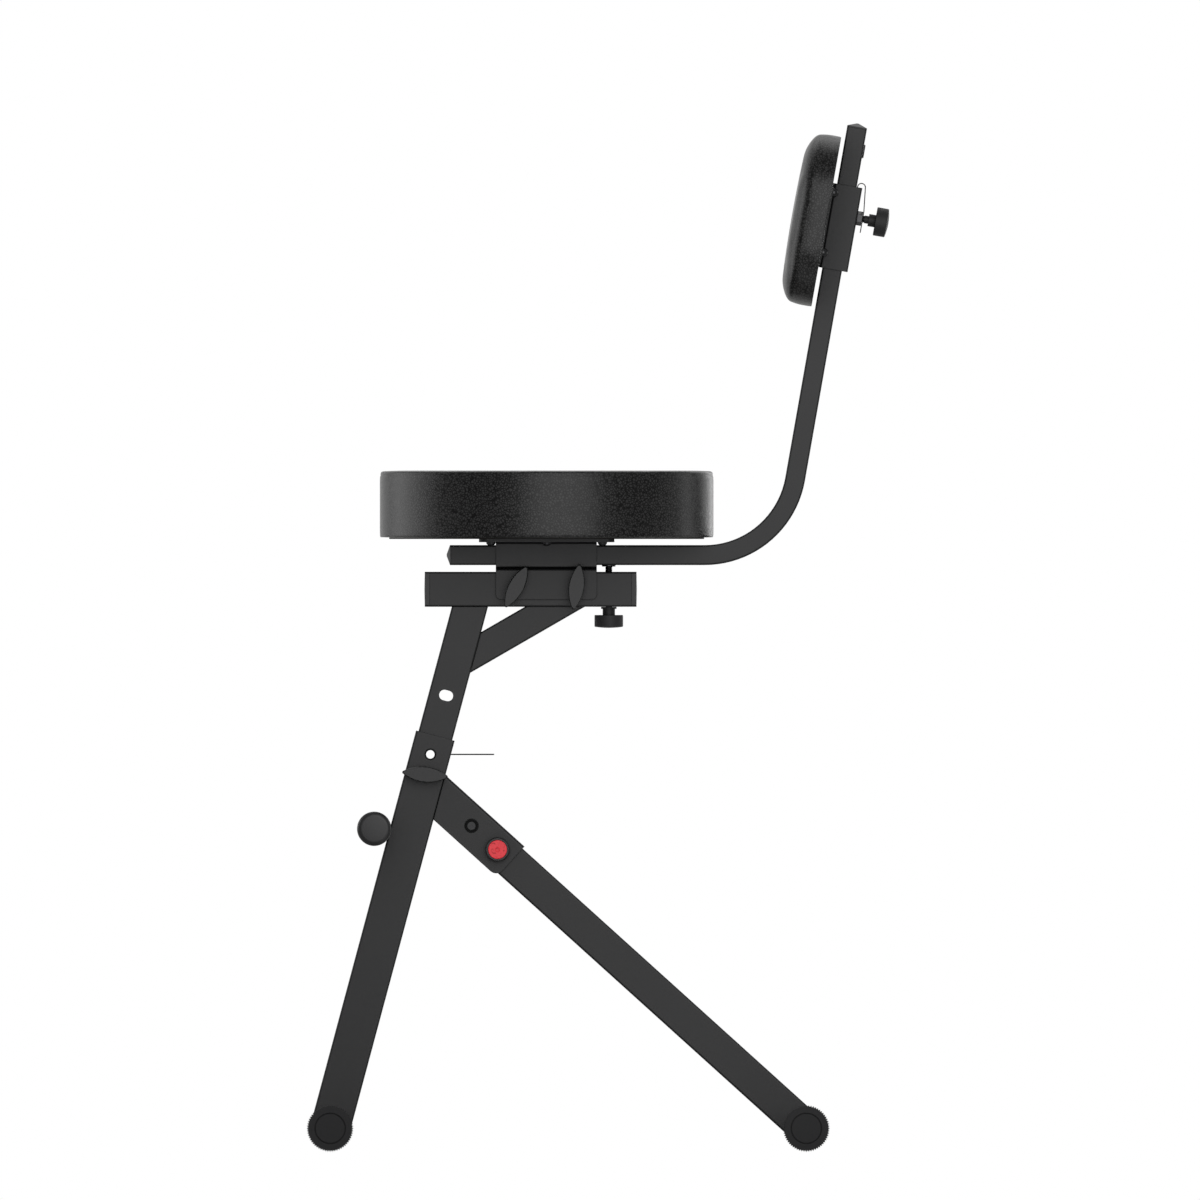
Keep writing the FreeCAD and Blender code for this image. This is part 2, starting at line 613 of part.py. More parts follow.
def lock_slot():
    """Keyhole round the pivot: a slot for the rod, through both walls, and the collar's hole in one."""
    half = LOCK_ROD_DIA / 2 + LOCK_ROD_PLAY
    width = REAR_LEG_WIDTH
    sector = pipe_y(2 * (BUTTON_REACH + half), 2 * (BUTTON_REACH - half), -width, width)
    upper = block(vec(-width * 2, -width, 0), vec(width * 2, width, width * 2))
    sector = sector.common(upper)
    past = FOLD_ANGLE + math.degrees(half / BUTTON_REACH)
    lower = block(vec(-width * 2, -width, -width * 2), vec(width * 2, width, 0))
    sector = sector.common(put(lower, frame(vec(0, 0, 0), -past)))
    end = y_rod(2 * half, BUTTON_REACH, 0, -width, width)
    keyhole = y_rod(LOCK_COLLAR_DIA + 2 * LOCK_ROD_PLAY, BUTTON_REACH, 0, 0, width)
    return sector.fuse(end).fuse(keyhole)


def rear_pivot_tube():
    """Spacer welded through the leg; its ends turn in the bracket's cheeks."""
    near = -CHEEK_OUT + STAR_WASHER + 2 * FACE_GAP
    spacer = pipe_y(PIVOT_TUBE_DIA, PIVOT_PIN_DIA + 2 * RUN_FIT, near, CHEEK_OUT - FACE_GAP)
    return put(spacer, REAR)


def button_pieces():
    """Housing on the near cheek, the cap in it, the rubber tube that springs it back and the lock rod."""
    floor = CHEEK_OUT + HOUSING_FLOOR
    under = floor + SPRING_SPACE
    face = under + BUTTON_FACE
    rim = face - BUTTON_PROUD
    bore = BUTTON_DIA / 2 + RUN_FIT
    radius = bore + HOUSING_WALL
    hole = LOCK_ROD_DIA / 2 + RUN_FIT
    edge = (radius - bore) / 3
    housing = turned([(hole, CHEEK_OUT), (radius, CHEEK_OUT), (radius, rim - edge), (radius - edge, rim),
                      (bore, rim), (bore, floor), (hole, floor)])

    cap_radius = BUTTON_DIA / 2
    dimple = BUTTON_DIMPLE_DIA / 2
    skirt = cap_radius - BUTTON_WALL
    skirt_end = under - BUTTON_SKIRT
    cap = turned([(0, under), (skirt, under), (skirt, skirt_end), (cap_radius, skirt_end),
                  (cap_radius, face - BUTTON_DIMPLE), (cap_radius - BUTTON_DIMPLE, face), (dimple, face),
                  (dimple - BUTTON_DIMPLE, face - BUTTON_DIMPLE), (0, face - BUTTON_DIMPLE)])

    collar = -REAR_LEG_WIDTH / 2 - LOCK_PLAY
    thick = LOCK_COLLAR_DIA / 2
    slim = LOCK_ROD_DIA / 2
    tail = collar - LOCK_COLLAR - LOCK_ROD_TAIL
    shaft = turned([(0, under), (slim, under), (slim, collar), (thick, collar), (thick, collar - LOCK_COLLAR),
                    (slim, collar - LOCK_COLLAR), (slim, tail), (0, tail)])

    inside = slim + SPRING_PLAY
    outside = inside + SPRING_WALL
    spring = turned([(inside, floor), (outside, floor), (outside, under), (inside, under)])

    place = REAR.multiply(facing(-1, 0, BUTTON_REACH, 0))
    shapes = {"button_housing": housing, "release_button": cap, "lock_rod": shaft, "button_spring": spring}
    return {name: put(shape, place) for name, shape in shapes.items()}


# Wing screws and knobs
def wing():
    """Flared leaf-shaped wing on a round hub, standing on its hub."""
    levels = ((0, WING_HUB_LENGTH, WING_HUB_WIDTH, WING_HUB_TIP),
              (WING_SHOULDER, WING_LENGTH, WING_WIDTH, WING_TIP),
              (WING_HEIGHT - WING_FACE_INSET, WING_LENGTH, WING_WIDTH, WING_TIP),
              (WING_HEIGHT, WING_LENGTH - 2 * WING_FACE_INSET, WING_WIDTH - WING_FACE_INSET, WING_TIP))
    outlines = []
    for height, length, width, tip in levels:
        outline = leaf(length, width, tip)
        outlines.append(outline.translated(vec(0, 0, height)))
    return Part.makeLoft(outlines, True, True)


def wing_screw(name, tip_y, face_y, x, z, turn):
    """Wing and stud on the near side: the stud runs in from the hub to its tip."""
    hub = face_y + WELD_NUT_LENGTH + WING_GAP
    stud = rod(STUD_DIA, vec(0, 0, tip_y - hub), Z_AXIS, hub - tip_y)
    place = facing(-1, hub, x, z, turn)
    return {name[0]: put(wing(), place), name[1]: put(stud, place)}


def knob(neck, foot_dia):
    """Round knob on its neck, standing on the neck's foot, with a rounded rim and a crowned face."""
    radius = KNOB_DIA / 2
    slim = KNOB_NECK_DIA / 2
    foot = foot_dia / 2
    rim = neck + KNOB_HEIGHT
    face = radius - KNOB_ROUND
    cut = KNOB_ROUND * (1 - math.cos(math.radians(45)))
    middle, drop = dome_middle(face, KNOB_CROWN)
    return turned([(0, 0), (foot, 0), (foot, KNOB_FLANGE), (slim, KNOB_FLANGE), (slim, neck), (radius, neck),
                   (radius, rim - KNOB_ROUND), (radius - cut, rim - cut, face, rim),
                   (middle, rim + KNOB_CROWN - drop, 0, rim + KNOB_CROWN)])


def bar_knob():
    """Knob under the beam whose stud runs up through the beam into the backrest bar."""
    base = BEAM_LOW - FACE_GAP
    handle = knob(BAR_KNOB_NECK, KNOB_FLANGE_DIA)
    upside_down = FreeCAD.Placement(vec(BAR_KNOB_X, 0, base), FreeCAD.Rotation(X_AXIS, 180))
    tip = BAR_LOW + RIVET_LENGTH
    stud = rod(STUD_DIA, vec(BAR_KNOB_X, 0, base), Z_AXIS, tip - base)
    return {"bar_knob": put(handle, upside_down), "bar_stud": stud}


def rivet_nut(bore):
    """Blind rivet nut: flange on the tube's face, crimped bulge behind its wall. Mouth at z = 0."""
    flange = RIVET_FLANGE_DIA / 2
    body = RIVET_BODY_DIA / 2
    bulge = RIVET_BULGE_DIA / 2
    inside = -RIVET_FLANGE - TUBE_WALL - FACE_GAP
    low = -RIVET_FLANGE - RIVET_LENGTH
    return turned([(bore / 2, 0), (flange - RIVET_CHAMFER, 0), (flange, -RIVET_CHAMFER),
                   (flange, -RIVET_FLANGE), (body, -RIVET_FLANGE), (body, inside), (bulge, inside),
                   (bulge, inside - RIVET_BULGE), (body, inside - RIVET_BULGE), (body, low), (bore / 2, low)])


# Mast
def seat_post():
    """Square tube inside the sleeve, slotted for the height pin and cut level under the beam."""
    low = SLEEVE_TOP - POST_INSIDE
    top = SLEEVE_TOP + POST_EXPOSED + POST_WIDTH
    post = shifted(flat_tube(POST_WIDTH, POST_WIDTH, TUBE_WALL, top - low), 0, 0, low)
    slot_width = LOCK_PIN_DIA + 2 * POST_SLOT_PLAY
    slot = rounded_rect(POST_SLOT_LENGTH, slot_width, slot_width / 2 - FACE_GAP)
    slot = prism(slot, 2 * POST_WIDTH)
    for index in range(HEIGHT_HOLES):
        height = LOCK_ALONG + (index - (HEIGHT_HOLES - 1) / 2) * HEIGHT_PITCH
        post = post.cut(put(slot, facing(1, -POST_WIDTH, 0, height)))
    above = block(vec(-FAR * 2, -FAR, BEAM_LOW), vec(FAR * 2, FAR, BEAM_TOP + FAR))
    return put(post, LEG).cut(above)


def end_plug(width, depth, wall, flange, peak):
    """Moulded tube plug: a cup inside the tube, a flange over its end and a raised or flat face."""
    outer = prism(rounded_rect(width, depth, TUBE_CORNER), flange)
    half_x = width / 2 - wall - CAP_FIT
    half_y = depth / 2 - wall - CAP_FIT
    cup = block(vec(-half_x, -half_y, -CAP_PLUG), vec(half_x, half_y, 0))
    core_x = half_x - wall
    core_y = half_y - wall
    inner = block(vec(-core_x, -core_y, -CAP_PLUG - OVERCUT), vec(core_x, core_y, -wall))
    plug = outer.fuse(cup.cut(inner))
    face = rounded_rect(width, depth, TUBE_CORNER)
    narrow = width - CAP_PEAK_WIDTH
    shrunk = rounded_rect(CAP_PEAK_WIDTH, depth - narrow, CAP_PEAK_WIDTH / 4)
    crown = Part.makeLoft([face, shrunk.translated(vec(0, 0, peak))], True, True)
    return plug.fuse(crown.translated(vec(0, 0, flange))).removeSplitter()


def post_plug():
    """Glide pushed into the post's lower end."""
    plug = end_plug(POST_WIDTH, POST_WIDTH, TUBE_WALL, POST_PLUG_FLANGE, BEAM_CAP_CROWN)
    down = FreeCAD.Placement(vec(0, 0, SLEEVE_TOP - POST_INSIDE), FreeCAD.Rotation(X_AXIS, 180))
    return put(plug, LEG.multiply(down))


def seat_beam():
    """Beam under the seat, bored for the bar knob's stud, with a plug in each end."""
    cap = BEAM_CAP + BEAM_CAP_CROWN
    length = BAR_KNOB_X + BEAM_TAIL - BEAM_FRONT - 2 * cap
    start = vec(BEAM_FRONT + cap, 0, BEAM_LOW + BEAM_WIDTH / 2)
    lie = FreeCAD.Rotation(Y_AXIS, 90)
    tube = put(flat_tube(BEAM_WIDTH, BEAM_WIDTH, TUBE_WALL, length), FreeCAD.Placement(start, lie))
    under = vec(BAR_KNOB_X, 0, BEAM_LOW - OVERCUT)
    tube = tube.cut(rod(STUD_DIA + 2 * STUD_PLAY, under, Z_AXIS, BEAM_WIDTH + FAR))
    plug = end_plug(BEAM_WIDTH, BEAM_WIDTH, TUBE_WALL, BEAM_CAP, BEAM_CAP_CROWN)
    turn = FreeCAD.Rotation(Y_AXIS, -90)
    return {
        "seat_beam": tube,
        "beam_cap_front": put(plug, FreeCAD.Placement(start, turn)),
        "beam_cap_rear": put(plug, FreeCAD.Placement(start + X_AXIS * length, lie)),
    }


def brace():
    """Square tube from the post's rear face up to the beam's underside, cut to fit both."""
    head = vec(POST_HEAD.x + BRACE_REACH, 0, BEAM_LOW)
    length = 2 * BRACE_REACH + 2 * BRACE_WIDTH
    place = frame(head, 90 - BRACE_ANGLE).multiply(frame(vec(0, 0, -length), 0))
    tube = put(flat_tube(BRACE_WIDTH, BRACE_WIDTH, TUBE_WALL, 2 * length), place)
    above = block(vec(-FAR * 2, -FAR, BEAM_LOW), vec(FAR * 2, FAR, BEAM_TOP + FAR))
    ahead = block(vec(-FAR * 2, -FAR, -FAR), vec(POST_WIDTH / 2, FAR, SLEEVE_TOP + 2 * FAR))
    return tube.cut(above).cut(put(ahead, LEG))


def bar_skin(width, depth, radius):
    """Outside or inside of the bent bar: a rectangle swept along its line, bend and line."""
    start = vec(BAR_FRONT, 0, BAR_AXIS)
    bend_end = BACK.multVec(vec(0, 0, 0))
    turn = math.radians((90 - BAR_TILT) / 2)
    halfway = BEND_CENTRE + vec(math.sin(turn), 0, -math.cos(turn)) * BAR_BEND_RADIUS
    path = Part.Wire([
        Part.LineSegment(start, BEND_START).toShape(),
        Part.Arc(BEND_START, halfway, bend_end).toShape(),
        Part.LineSegment(bend_end, BACK.multVec(vec(0, 0, BAR_UPRIGHT))).toShape(),
    ])
    section = rounded_rect(depth, width, radius) if radius else polygon(
        [(x * depth / 2, y * width / 2) for x, y in ((-1, -1), (1, -1), (1, 1), (-1, 1))])
    section = section.transformed(FreeCAD.Placement(start, FreeCAD.Rotation(Y_AXIS, 90)).toMatrix(), True)
    return path.makePipeShell([section], True, False)


def backrest_bar():
    """Bent flat tube with its two end plugs and its two rivet nuts."""
    bar = bar_skin(BAR_WIDTH, BAR_DEPTH, TUBE_CORNER)
    bar = bar.cut(bar_skin(BAR_WIDTH - 2 * TUBE_WALL, BAR_DEPTH - 2 * TUBE_WALL, 0))
    hole = RIVET_BODY_DIA + 2 * CAP_FIT
    bar = bar.cut(rod(hole, vec(BAR_KNOB_X, 0, BAR_LOW - OVERCUT), Z_AXIS, BAR_DEPTH / 2))
    spot = BACK.multVec(vec(BAR_DEPTH / 2 + RIVET_FLANGE, 0, BAR_UPRIGHT - ACCESSORY_BELOW_TOP))
    rearward = BACK.Rotation.multVec(X_AXIS)
    bar = bar.cut(rod(hole, spot, rearward * -1, BAR_DEPTH / 2))

    plug = end_plug(BAR_DEPTH, BAR_WIDTH, TUBE_WALL, BAR_CAP_FLANGE, BAR_CAP_PEAK)
    front = FreeCAD.Placement(vec(BAR_FRONT, 0, BAR_AXIS), FreeCAD.Rotation(Y_AXIS, -90))
    lower = FreeCAD.Placement(vec(BAR_KNOB_X, 0, BAR_LOW - RIVET_FLANGE), FreeCAD.Rotation(X_AXIS, 180))
    upper = FreeCAD.Placement(spot, BACK.Rotation.multiply(FreeCAD.Rotation(Y_AXIS, 90)))
    return {
        "backrest_bar": bar,
        "bar_cap_front": put(plug, front),
        "bar_cap_top": put(plug, BACK.multiply(frame(vec(0, 0, BAR_UPRIGHT), 0))),
        "bar_rivet_nut": put(rivet_nut(STUD_DIA + 2 * STUD_FIT), lower),
        "accessory_rivet_nut": put(rivet_nut(ACCESSORY_THREAD_DIA), upper),
    }


# Seat
def dome_screw(head, length):
    """Dome-headed screw, head down, its shank running up from z = 0 to a point."""
    radius = SCREW_HEAD_DIA / 2
    core = SCREW_DIA / 2
    middle, drop = dome_middle(radius, head)
    return turned([(0, -head), (middle, drop - head, radius, 0), (core, 0), (core, length - core),
                   (0, length)])


def screw_spots(xs, ys):
    return [(x, y) for x in xs for y in ys]


def drilled(shape, spots, dia, low, high):
    for x, y in spots:
        shape = shape.cut(rod(dia, vec(x, y, low), Z_AXIS, high - low))
    return shape


def seat_spots():
    pitch = SEAT_SCREW_PITCH
    return screw_spots((-pitch, 0, pitch), (-SEAT_SCREW_ROWS / 2, SEAT_SCREW_ROWS / 2))


def seat_top_pieces():
    """Cushion over a plywood disc, on a steel plate that six screws hold."""
    radius = SEAT_DIA / 2
    low = PLATE_TOP + SEAT_BOARD_SHOWS
    cushion = Part.makeCylinder(radius, SEAT_PAD, vec(0, 0, low))
    cushion = cushion.makeFillet(SEAT_PAD_ROUND, level_edges(cushion, low + SEAT_PAD))
    cushion = cushion.makeFillet(SEAT_PAD_LOW_ROUND, level_edges(cushion, low))
    board_radius = radius - SEAT_BOARD_INSET
    recess = Part.makeCylinder(board_radius + SOFT_GAP, SEAT_BOARD + SOFT_GAP, vec(0, 0, PLATE_TOP))
    board = Part.makeCylinder(board_radius, SEAT_BOARD, vec(0, 0, PLATE_TOP))
    depth = SEAT_BOARD - SCREW_COVER
    board = drilled(board, seat_spots(), SCREW_HOLE_DIA, PLATE_TOP - OVERCUT, PLATE_TOP + depth + SCREW_FIT)

    length = 2 * (SEAT_SCREW_PITCH + SEAT_PLATE_END)
    width = SEAT_SCREW_ROWS + 2 * SEAT_PLATE_SIDE
    plate = prism(rounded_rect(length, width, SEAT_PLATE_CORNER), SEAT_PLATE)
    plate = shifted(plate, 0, 0, TUNNEL_TOP)
    plate = drilled(plate, seat_spots(), SCREW_HOLE_DIA, TUNNEL_TOP - OVERCUT, PLATE_TOP + OVERCUT)
    screw = dome_screw(SCREW_HEAD, SEAT_PLATE + depth)
    screws = [shifted(screw, x, y, TUNNEL_TOP) for x, y in seat_spots()]
    shapes = {"seat_cushion": cushion.cut(recess), "seat_board": board, "seat_plate": plate,
              "seat_screws": Part.makeCompound(screws)}
    return {name: shifted(shape, SEAT_X, 0, 0) for name, shape in shapes.items()}


def seat_bracket():
    """Saddle over the beam, tunnel round the bar on top of it, and the saddle's two weld nuts."""
    start = BRACKET_FRONT
    end = start + BRACKET_RUN
    middle_x = start + BRACKET_RUN / 2
    inner = BEAM_WIDTH / 2 + SADDLE_GAP
    low = BEAM_TOP - SADDLE_SKIRT
    saddle = block(vec(start, -SADDLE_HALF, low), vec(end, SADDLE_HALF, SADDLE_TOP))
    saddle = saddle.makeFillet(SADDLE_BEND, edges_along(saddle, X_AXIS, lambda middle: middle.z > BEAM_TOP))
    saddle = saddle.makeFillet(SADDLE_CORNER, edges_along(saddle, Y_AXIS, lambda middle: middle.z < BEAM_TOP))
    web = BEAM_TOP + SADDLE_GAP
    hollow = block(vec(start - OVERCUT, -inner, low - OVERCUT), vec(end + OVERCUT, inner, web))
    saddle = saddle.cut(hollow)
    nuts = []
    for side in (-1, 1):
        x = middle_x + side * SEAT_WING_SPACING / 2
        saddle = saddle.cut(y_rod(STUD_HOLE_DIA, x, SEAT_SCREW_Z, -SADDLE_HALF - OVERCUT, 0))
        nuts.append(put(weld_nut(), facing(-1, SADDLE_HALF, x, SEAT_SCREW_Z)))

    tall = BAR_DEPTH + 2 * BAR_GAP + 2 * TUNNEL_WALL
    wide = BAR_WIDTH + 2 * BAR_GAP + 2 * TUNNEL_WALL
    lie = FreeCAD.Placement(vec(start, 0, BAR_AXIS), FreeCAD.Rotation(Y_AXIS, 90))
    tunnel = put(flat_tube(tall, wide, TUNNEL_WALL, BRACKET_RUN), lie)
    return {"seat_saddle": saddle, "seat_tunnel": tunnel, "saddle_nuts": Part.makeCompound(nuts)}


# Backrest
def back_pad_outline(inset, corner):
    """Rounded outline of the pad, lying flat: height along X, width along Y."""
    return rounded_rect(BACK_PAD_HEIGHT - 2 * inset, BACK_PAD_WIDTH - 2 * inset, corner)


def back_pad_place():
    """Place whose Z points forward from the pad's rear face, at the pad's middle."""
    middle = vec(BACK_PAD_REAR, 0, BACK_SLEEVE_LOW + BACK_PAD_LOW + BACK_PAD_HEIGHT / 2)
    return BACK.multiply(FreeCAD.Placement(middle, FreeCAD.Rotation(Y_AXIS, -90)))


def backrest_pad():
    """Pad with straight sides, a wide round to its front and a low crown, over a plywood board."""
    fall = BACK_PAD - BACK_PAD_CROWN - BACK_PAD_WALL
    levels = [(0, 0.0, BACK_PAD_CORNER)]
    for step in range(BACK_PAD_ROUND_STEPS):
        turn = math.radians(90.0 * step / (BACK_PAD_ROUND_STEPS - 1))
        inset = BACK_PAD_ROUND * (1 - math.cos(turn))
        levels.append((BACK_PAD_WALL + fall * math.sin(turn), inset, BACK_PAD_CORNER - inset))
    levels.append((BACK_PAD, BACK_PAD_CORNER - BACK_PAD_FACE_CORNER, BACK_PAD_FACE_CORNER))
    outlines = []
    for depth, inset, corner in levels:
        outlines.append(back_pad_outline(inset, corner).translated(vec(0, 0, depth)))
    pad = Part.makeLoft(outlines, True, True)
    board = prism(back_pad_outline(BACK_BOARD_INSET, BACK_PAD_CORNER - BACK_BOARD_INSET), BACK_BOARD)
    recess_inset = BACK_BOARD_INSET - SOFT_GAP
    recess = prism(back_pad_outline(recess_inset, BACK_PAD_CORNER - recess_inset), BACK_BOARD + SOFT_GAP)
    board = drilled(board, back_spots(), SCREW_HOLE_DIA, -OVERCUT, BACK_BOARD - SCREW_COVER + SCREW_FIT)
    place = back_pad_place()
    return {"backrest_cushion": put(pad.cut(recess), place), "backrest_board": put(board, place)}


def back_spots():
    """Screw places on the plate, in the pad's own frame."""
    middle = BACK_PAD_LOW + BACK_PAD_HEIGHT / 2
    heights = (BACK_SCREW_FROM_LOW - middle, BACK_SLEEVE_LENGTH - BACK_SCREW_FROM_TOP - middle)
    return screw_spots(heights, (-BACK_SCREW_ROWS / 2, BACK_SCREW_ROWS / 2))


def backrest_plate():
    """Plate welded to the sleeve's front, and the four screws through it into the board."""
    middle = BACK_SLEEVE_LENGTH / 2 - BACK_PAD_LOW - BACK_PAD_HEIGHT / 2
    plate = prism(rounded_rect(BACK_SLEEVE_LENGTH, BACK_PLATE_WIDTH, BACK_PLATE_CORNER), BACK_PLATE)
    plate = shifted(plate, middle, 0, -BACK_PLATE)
    plate = drilled(plate, back_spots(), SCREW_HOLE_DIA, -BACK_PLATE - OVERCUT, OVERCUT)
    screw = dome_screw(BACK_SCREW_HEAD, BACK_PLATE + BACK_BOARD - SCREW_COVER)
    screws = [shifted(screw, x, y, -BACK_PLATE) for x, y in back_spots()]
    place = back_pad_place()
    return {"backrest_plate": put(plate, place), "backrest_screws": put(Part.makeCompound(screws), place)}


def backrest_sleeve():
    """Flat tube that slides on the bar, with room behind the bar for the clip."""
    depth = BACK_SLEEVE_REAR - BACK_SLEEVE_FRONT
    width = BAR_WIDTH + 2 * BACK_SLEEVE_GAP + 2 * BACK_SLEEVE_WALL
    tube = flat_tube(depth, width, BACK_SLEEVE_WALL, BACK_SLEEVE_LENGTH)
    tube = shifted(tube, (BACK_SLEEVE_REAR + BACK_SLEEVE_FRONT) / 2, 0, BACK_SLEEVE_LOW)
    tube = tube.cut(rod(STUD_HOLE_DIA, vec(0, 0, BACK_KNOB_S), X_AXIS, FAR))
    return put(tube, BACK)


def backrest_nut():
    """Hexagon weld nut behind the sleeve, a corner upwards."""
    corners = [polar(BACK_NUT_HEIGHT / 2, 60 * step) for step in range(6)]
    nut = prism(polygon([(point.x, point.y) for point in corners]), BACK_NUT)
    nut = nut.cut(Part.makeCylinder(STUD_DIA / 2 + STUD_FIT, BACK_NUT))
    return put(nut, rear_place(BACK_SLEEVE_REAR))


def rear_place(offset):
    """Place on the clamp screw's axis whose Z points to the rear."""
    spot = vec(offset, 0, BACK_KNOB_S)
    return BACK.multiply(FreeCAD.Placement(spot, FreeCAD.Rotation(Y_AXIS, 90)))


def leaf_clip():
    """Spring strip hooked over the sleeve's rear wall: a pad leg inside and an outer leg under the knob."""
    inner_x = BAR_DEPTH / 2 + CLIP_BAR_GAP + CLIP_THICK / 2
    wall_x = BACK_SLEEVE_REAR - BACK_SLEEVE_WALL / 2
    bend = wall_x - inner_x
    top = BACK_SLEEVE_TOP + CLIP_RISE
    nut_top = BACK_KNOB_S + BACK_NUT_HEIGHT / 2
    over = BACK_SLEEVE_REAR + BACK_NUT + FACE_GAP - wall_x
    down = top - nut_top
    flare = math.acos((bend - CLIP_THICK / 2) / math.hypot(over, down)) - math.atan2(down, over)
    crest = vec(wall_x, 0, top + bend)
    bend_end = vec(wall_x + bend * math.cos(flare), 0, top + bend * math.sin(flare))
    knee = vec(wall_x + over + CLIP_THICK / 2, 0, nut_top)
    tail = vec(knee.x, 0, BACK_KNOB_S - CLIP_TAIL)
    foot = vec(inner_x, 0, top - CLIP_INNER)
    path = Part.Wire([
        Part.LineSegment(foot, vec(inner_x, 0, top)).toShape(),
        Part.Arc(vec(inner_x, 0, top), crest, bend_end).toShape(),
        Part.LineSegment(bend_end, knee).toShape(),
        Part.LineSegment(knee, tail).toShape(),
    ])
    half_t = CLIP_THICK / 2
    half_w = CLIP_WIDTH / 2
    section = polygon([(-half_t, -half_w), (half_t, -half_w), (half_t, half_w), (-half_t, half_w)])
    strip = path.makePipeShell([section.translated(foot)], True, False, 1)
    strip = strip.cut(rod(CLIP_HOLE_DIA, vec(wall_x, 0, BACK_KNOB_S), X_AXIS, FAR))
    return put(strip, BACK)


def backrest_knob():
    """Clamp knob behind the sleeve; its stud presses the clip's inner leg on the bar."""
    base = BACK_SLEEVE_REAR + BACK_NUT + BACK_KNOB_STANDOFF
    tip = BAR_DEPTH / 2 + CLIP_BAR_GAP + CLIP_THICK + STUD_TIP_GAP
    handle = put(knob(BACK_KNOB_NECK, KNOB_NECK_DIA), rear_place(base))
    stud = put(rod(STUD_DIA, vec(0, 0, tip - base), Z_AXIS, base - tip), rear_place(base))
    return {"backrest_knob": handle, "backrest_stud": stud}


def all_pieces():
    """Every node of the stool by name."""
    sleeve_half = SLEEVE_WIDTH / 2
    clamp = LEG.multVec(vec(0, 0, CLAMP_ALONG))
    pieces = {
        "front_leg_sleeve": front_leg_sleeve(),
        "hinge_bracket": hinge_bracket(),
        "height_clamp_nut": put(weld_nut(), facing(-1, sleeve_half, clamp.x, clamp.z)),
        "lock_pin_guide": pin_guide(),
        "rear_leg_tube": rear_leg_tube(),
        "rear_pivot_tube": rear_pivot_tube(),
        "seat_post": seat_post(),
        "post_plug": post_plug(),
        "brace": brace(),
        "backrest_sleeve": backrest_sleeve(),
        "backrest_nut": backrest_nut(),
        "leaf_clip": leaf_clip(),
    }
    for group in (cross_foot("front", LEG.Base), cross_foot("rear", REAR_FOOT), footrest(), lock_pin(),
                  pivot_pieces(), button_pieces(), bar_knob(), seat_beam(), backrest_bar(), seat_top_pieces(),
                  seat_bracket(), backrest_pad(), backrest_plate(), backrest_knob()):
        pieces.update(group)

    post_face = POST_WIDTH / 2 + STUD_TIP_GAP
    pieces.update(wing_screw(("height_wing", "height_stud"), post_face, sleeve_half, clamp.x, clamp.z,
                             HEIGHT_WING_TURN))
    beam_face = BEAM_WIDTH / 2 + STUD_TIP_GAP
    for place, side, turn in zip(("front", "rear"), (-1, 1), SEAT_WING_TURNS):
        x = BRACKET_FRONT + (BRACKET_RUN + side * SEAT_WING_SPACING) / 2
        names = ("seat_wing_" + place, "seat_stud_" + place)
        pieces.update(wing_screw(names, beam_face, SADDLE_HALF, x, SEAT_SCREW_Z, turn))
    return pieces


def main():
    os.makedirs("parts", exist_ok=True)
    pieces = all_pieces()
    for name, shape in sorted(pieces.items()):
        shape.exportStep("parts/" + name + ".step")
    whole = Part.makeCompound(list(pieces.values()))
    box = whole.BoundBox
    corners = (box.XMin, box.XMax, box.YMin, box.YMax, box.ZMin, box.ZMax)
    print(len(pieces), "pieces, box", [round(value, 2) for value in corners])
    for name, point in (("hinge", HINGE_POINT), ("lock pin", LOCK_POINT), ("backrest bar", BACK.Base)):
        print(name, [round(value, 3) for value in point])


main()
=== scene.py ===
# %% [markdown]
# # A folding guitar stool
#
# The stool has a round padded seat, a small padded back on a bent bar, a front leg that telescopes and a
# rear leg that folds. Its steel, hinges and plugs come from the CAD frame, which is loaded first and never
# moved. Blender adds what CAD leaves plain: the two upholstered pads, the threads and screw recesses, the
# saw teeth of the feet, the footrest sleeves, the round knobs, and every finish. All lengths are metres.

# %% Load the frame
import math

import bpy
from mathutils import Matrix, Vector


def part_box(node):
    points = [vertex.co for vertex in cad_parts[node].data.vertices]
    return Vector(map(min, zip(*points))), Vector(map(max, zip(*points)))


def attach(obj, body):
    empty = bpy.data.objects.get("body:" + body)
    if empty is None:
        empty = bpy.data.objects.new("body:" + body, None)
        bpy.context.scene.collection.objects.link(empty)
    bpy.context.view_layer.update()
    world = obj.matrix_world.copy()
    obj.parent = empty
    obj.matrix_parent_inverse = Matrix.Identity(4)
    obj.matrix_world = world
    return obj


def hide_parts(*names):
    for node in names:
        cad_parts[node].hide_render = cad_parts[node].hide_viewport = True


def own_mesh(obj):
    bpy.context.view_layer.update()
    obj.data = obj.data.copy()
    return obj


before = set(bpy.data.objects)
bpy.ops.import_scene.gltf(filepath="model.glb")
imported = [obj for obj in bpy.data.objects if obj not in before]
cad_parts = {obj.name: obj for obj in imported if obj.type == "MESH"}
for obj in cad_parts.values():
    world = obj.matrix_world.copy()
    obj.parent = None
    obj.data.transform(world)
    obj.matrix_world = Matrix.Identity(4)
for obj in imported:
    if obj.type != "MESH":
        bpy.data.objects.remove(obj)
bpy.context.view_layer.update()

# %% [markdown]
# ## Camera
#
# In the photograph the tubes keep their width from front to back and the round feet hide the far ones
# exactly. That is a view straight from the side with no perspective, so the camera is orthographic. One
# pixel of the 1200-pixel frame is one millimetre, which makes the frame 1.2 m wide.

# %% Camera
mm = 0.001
photo_width = 1200 * mm
photo_centre = Vector((1.98 * mm, 0.0, 552 * mm))
camera_distance = 3.0

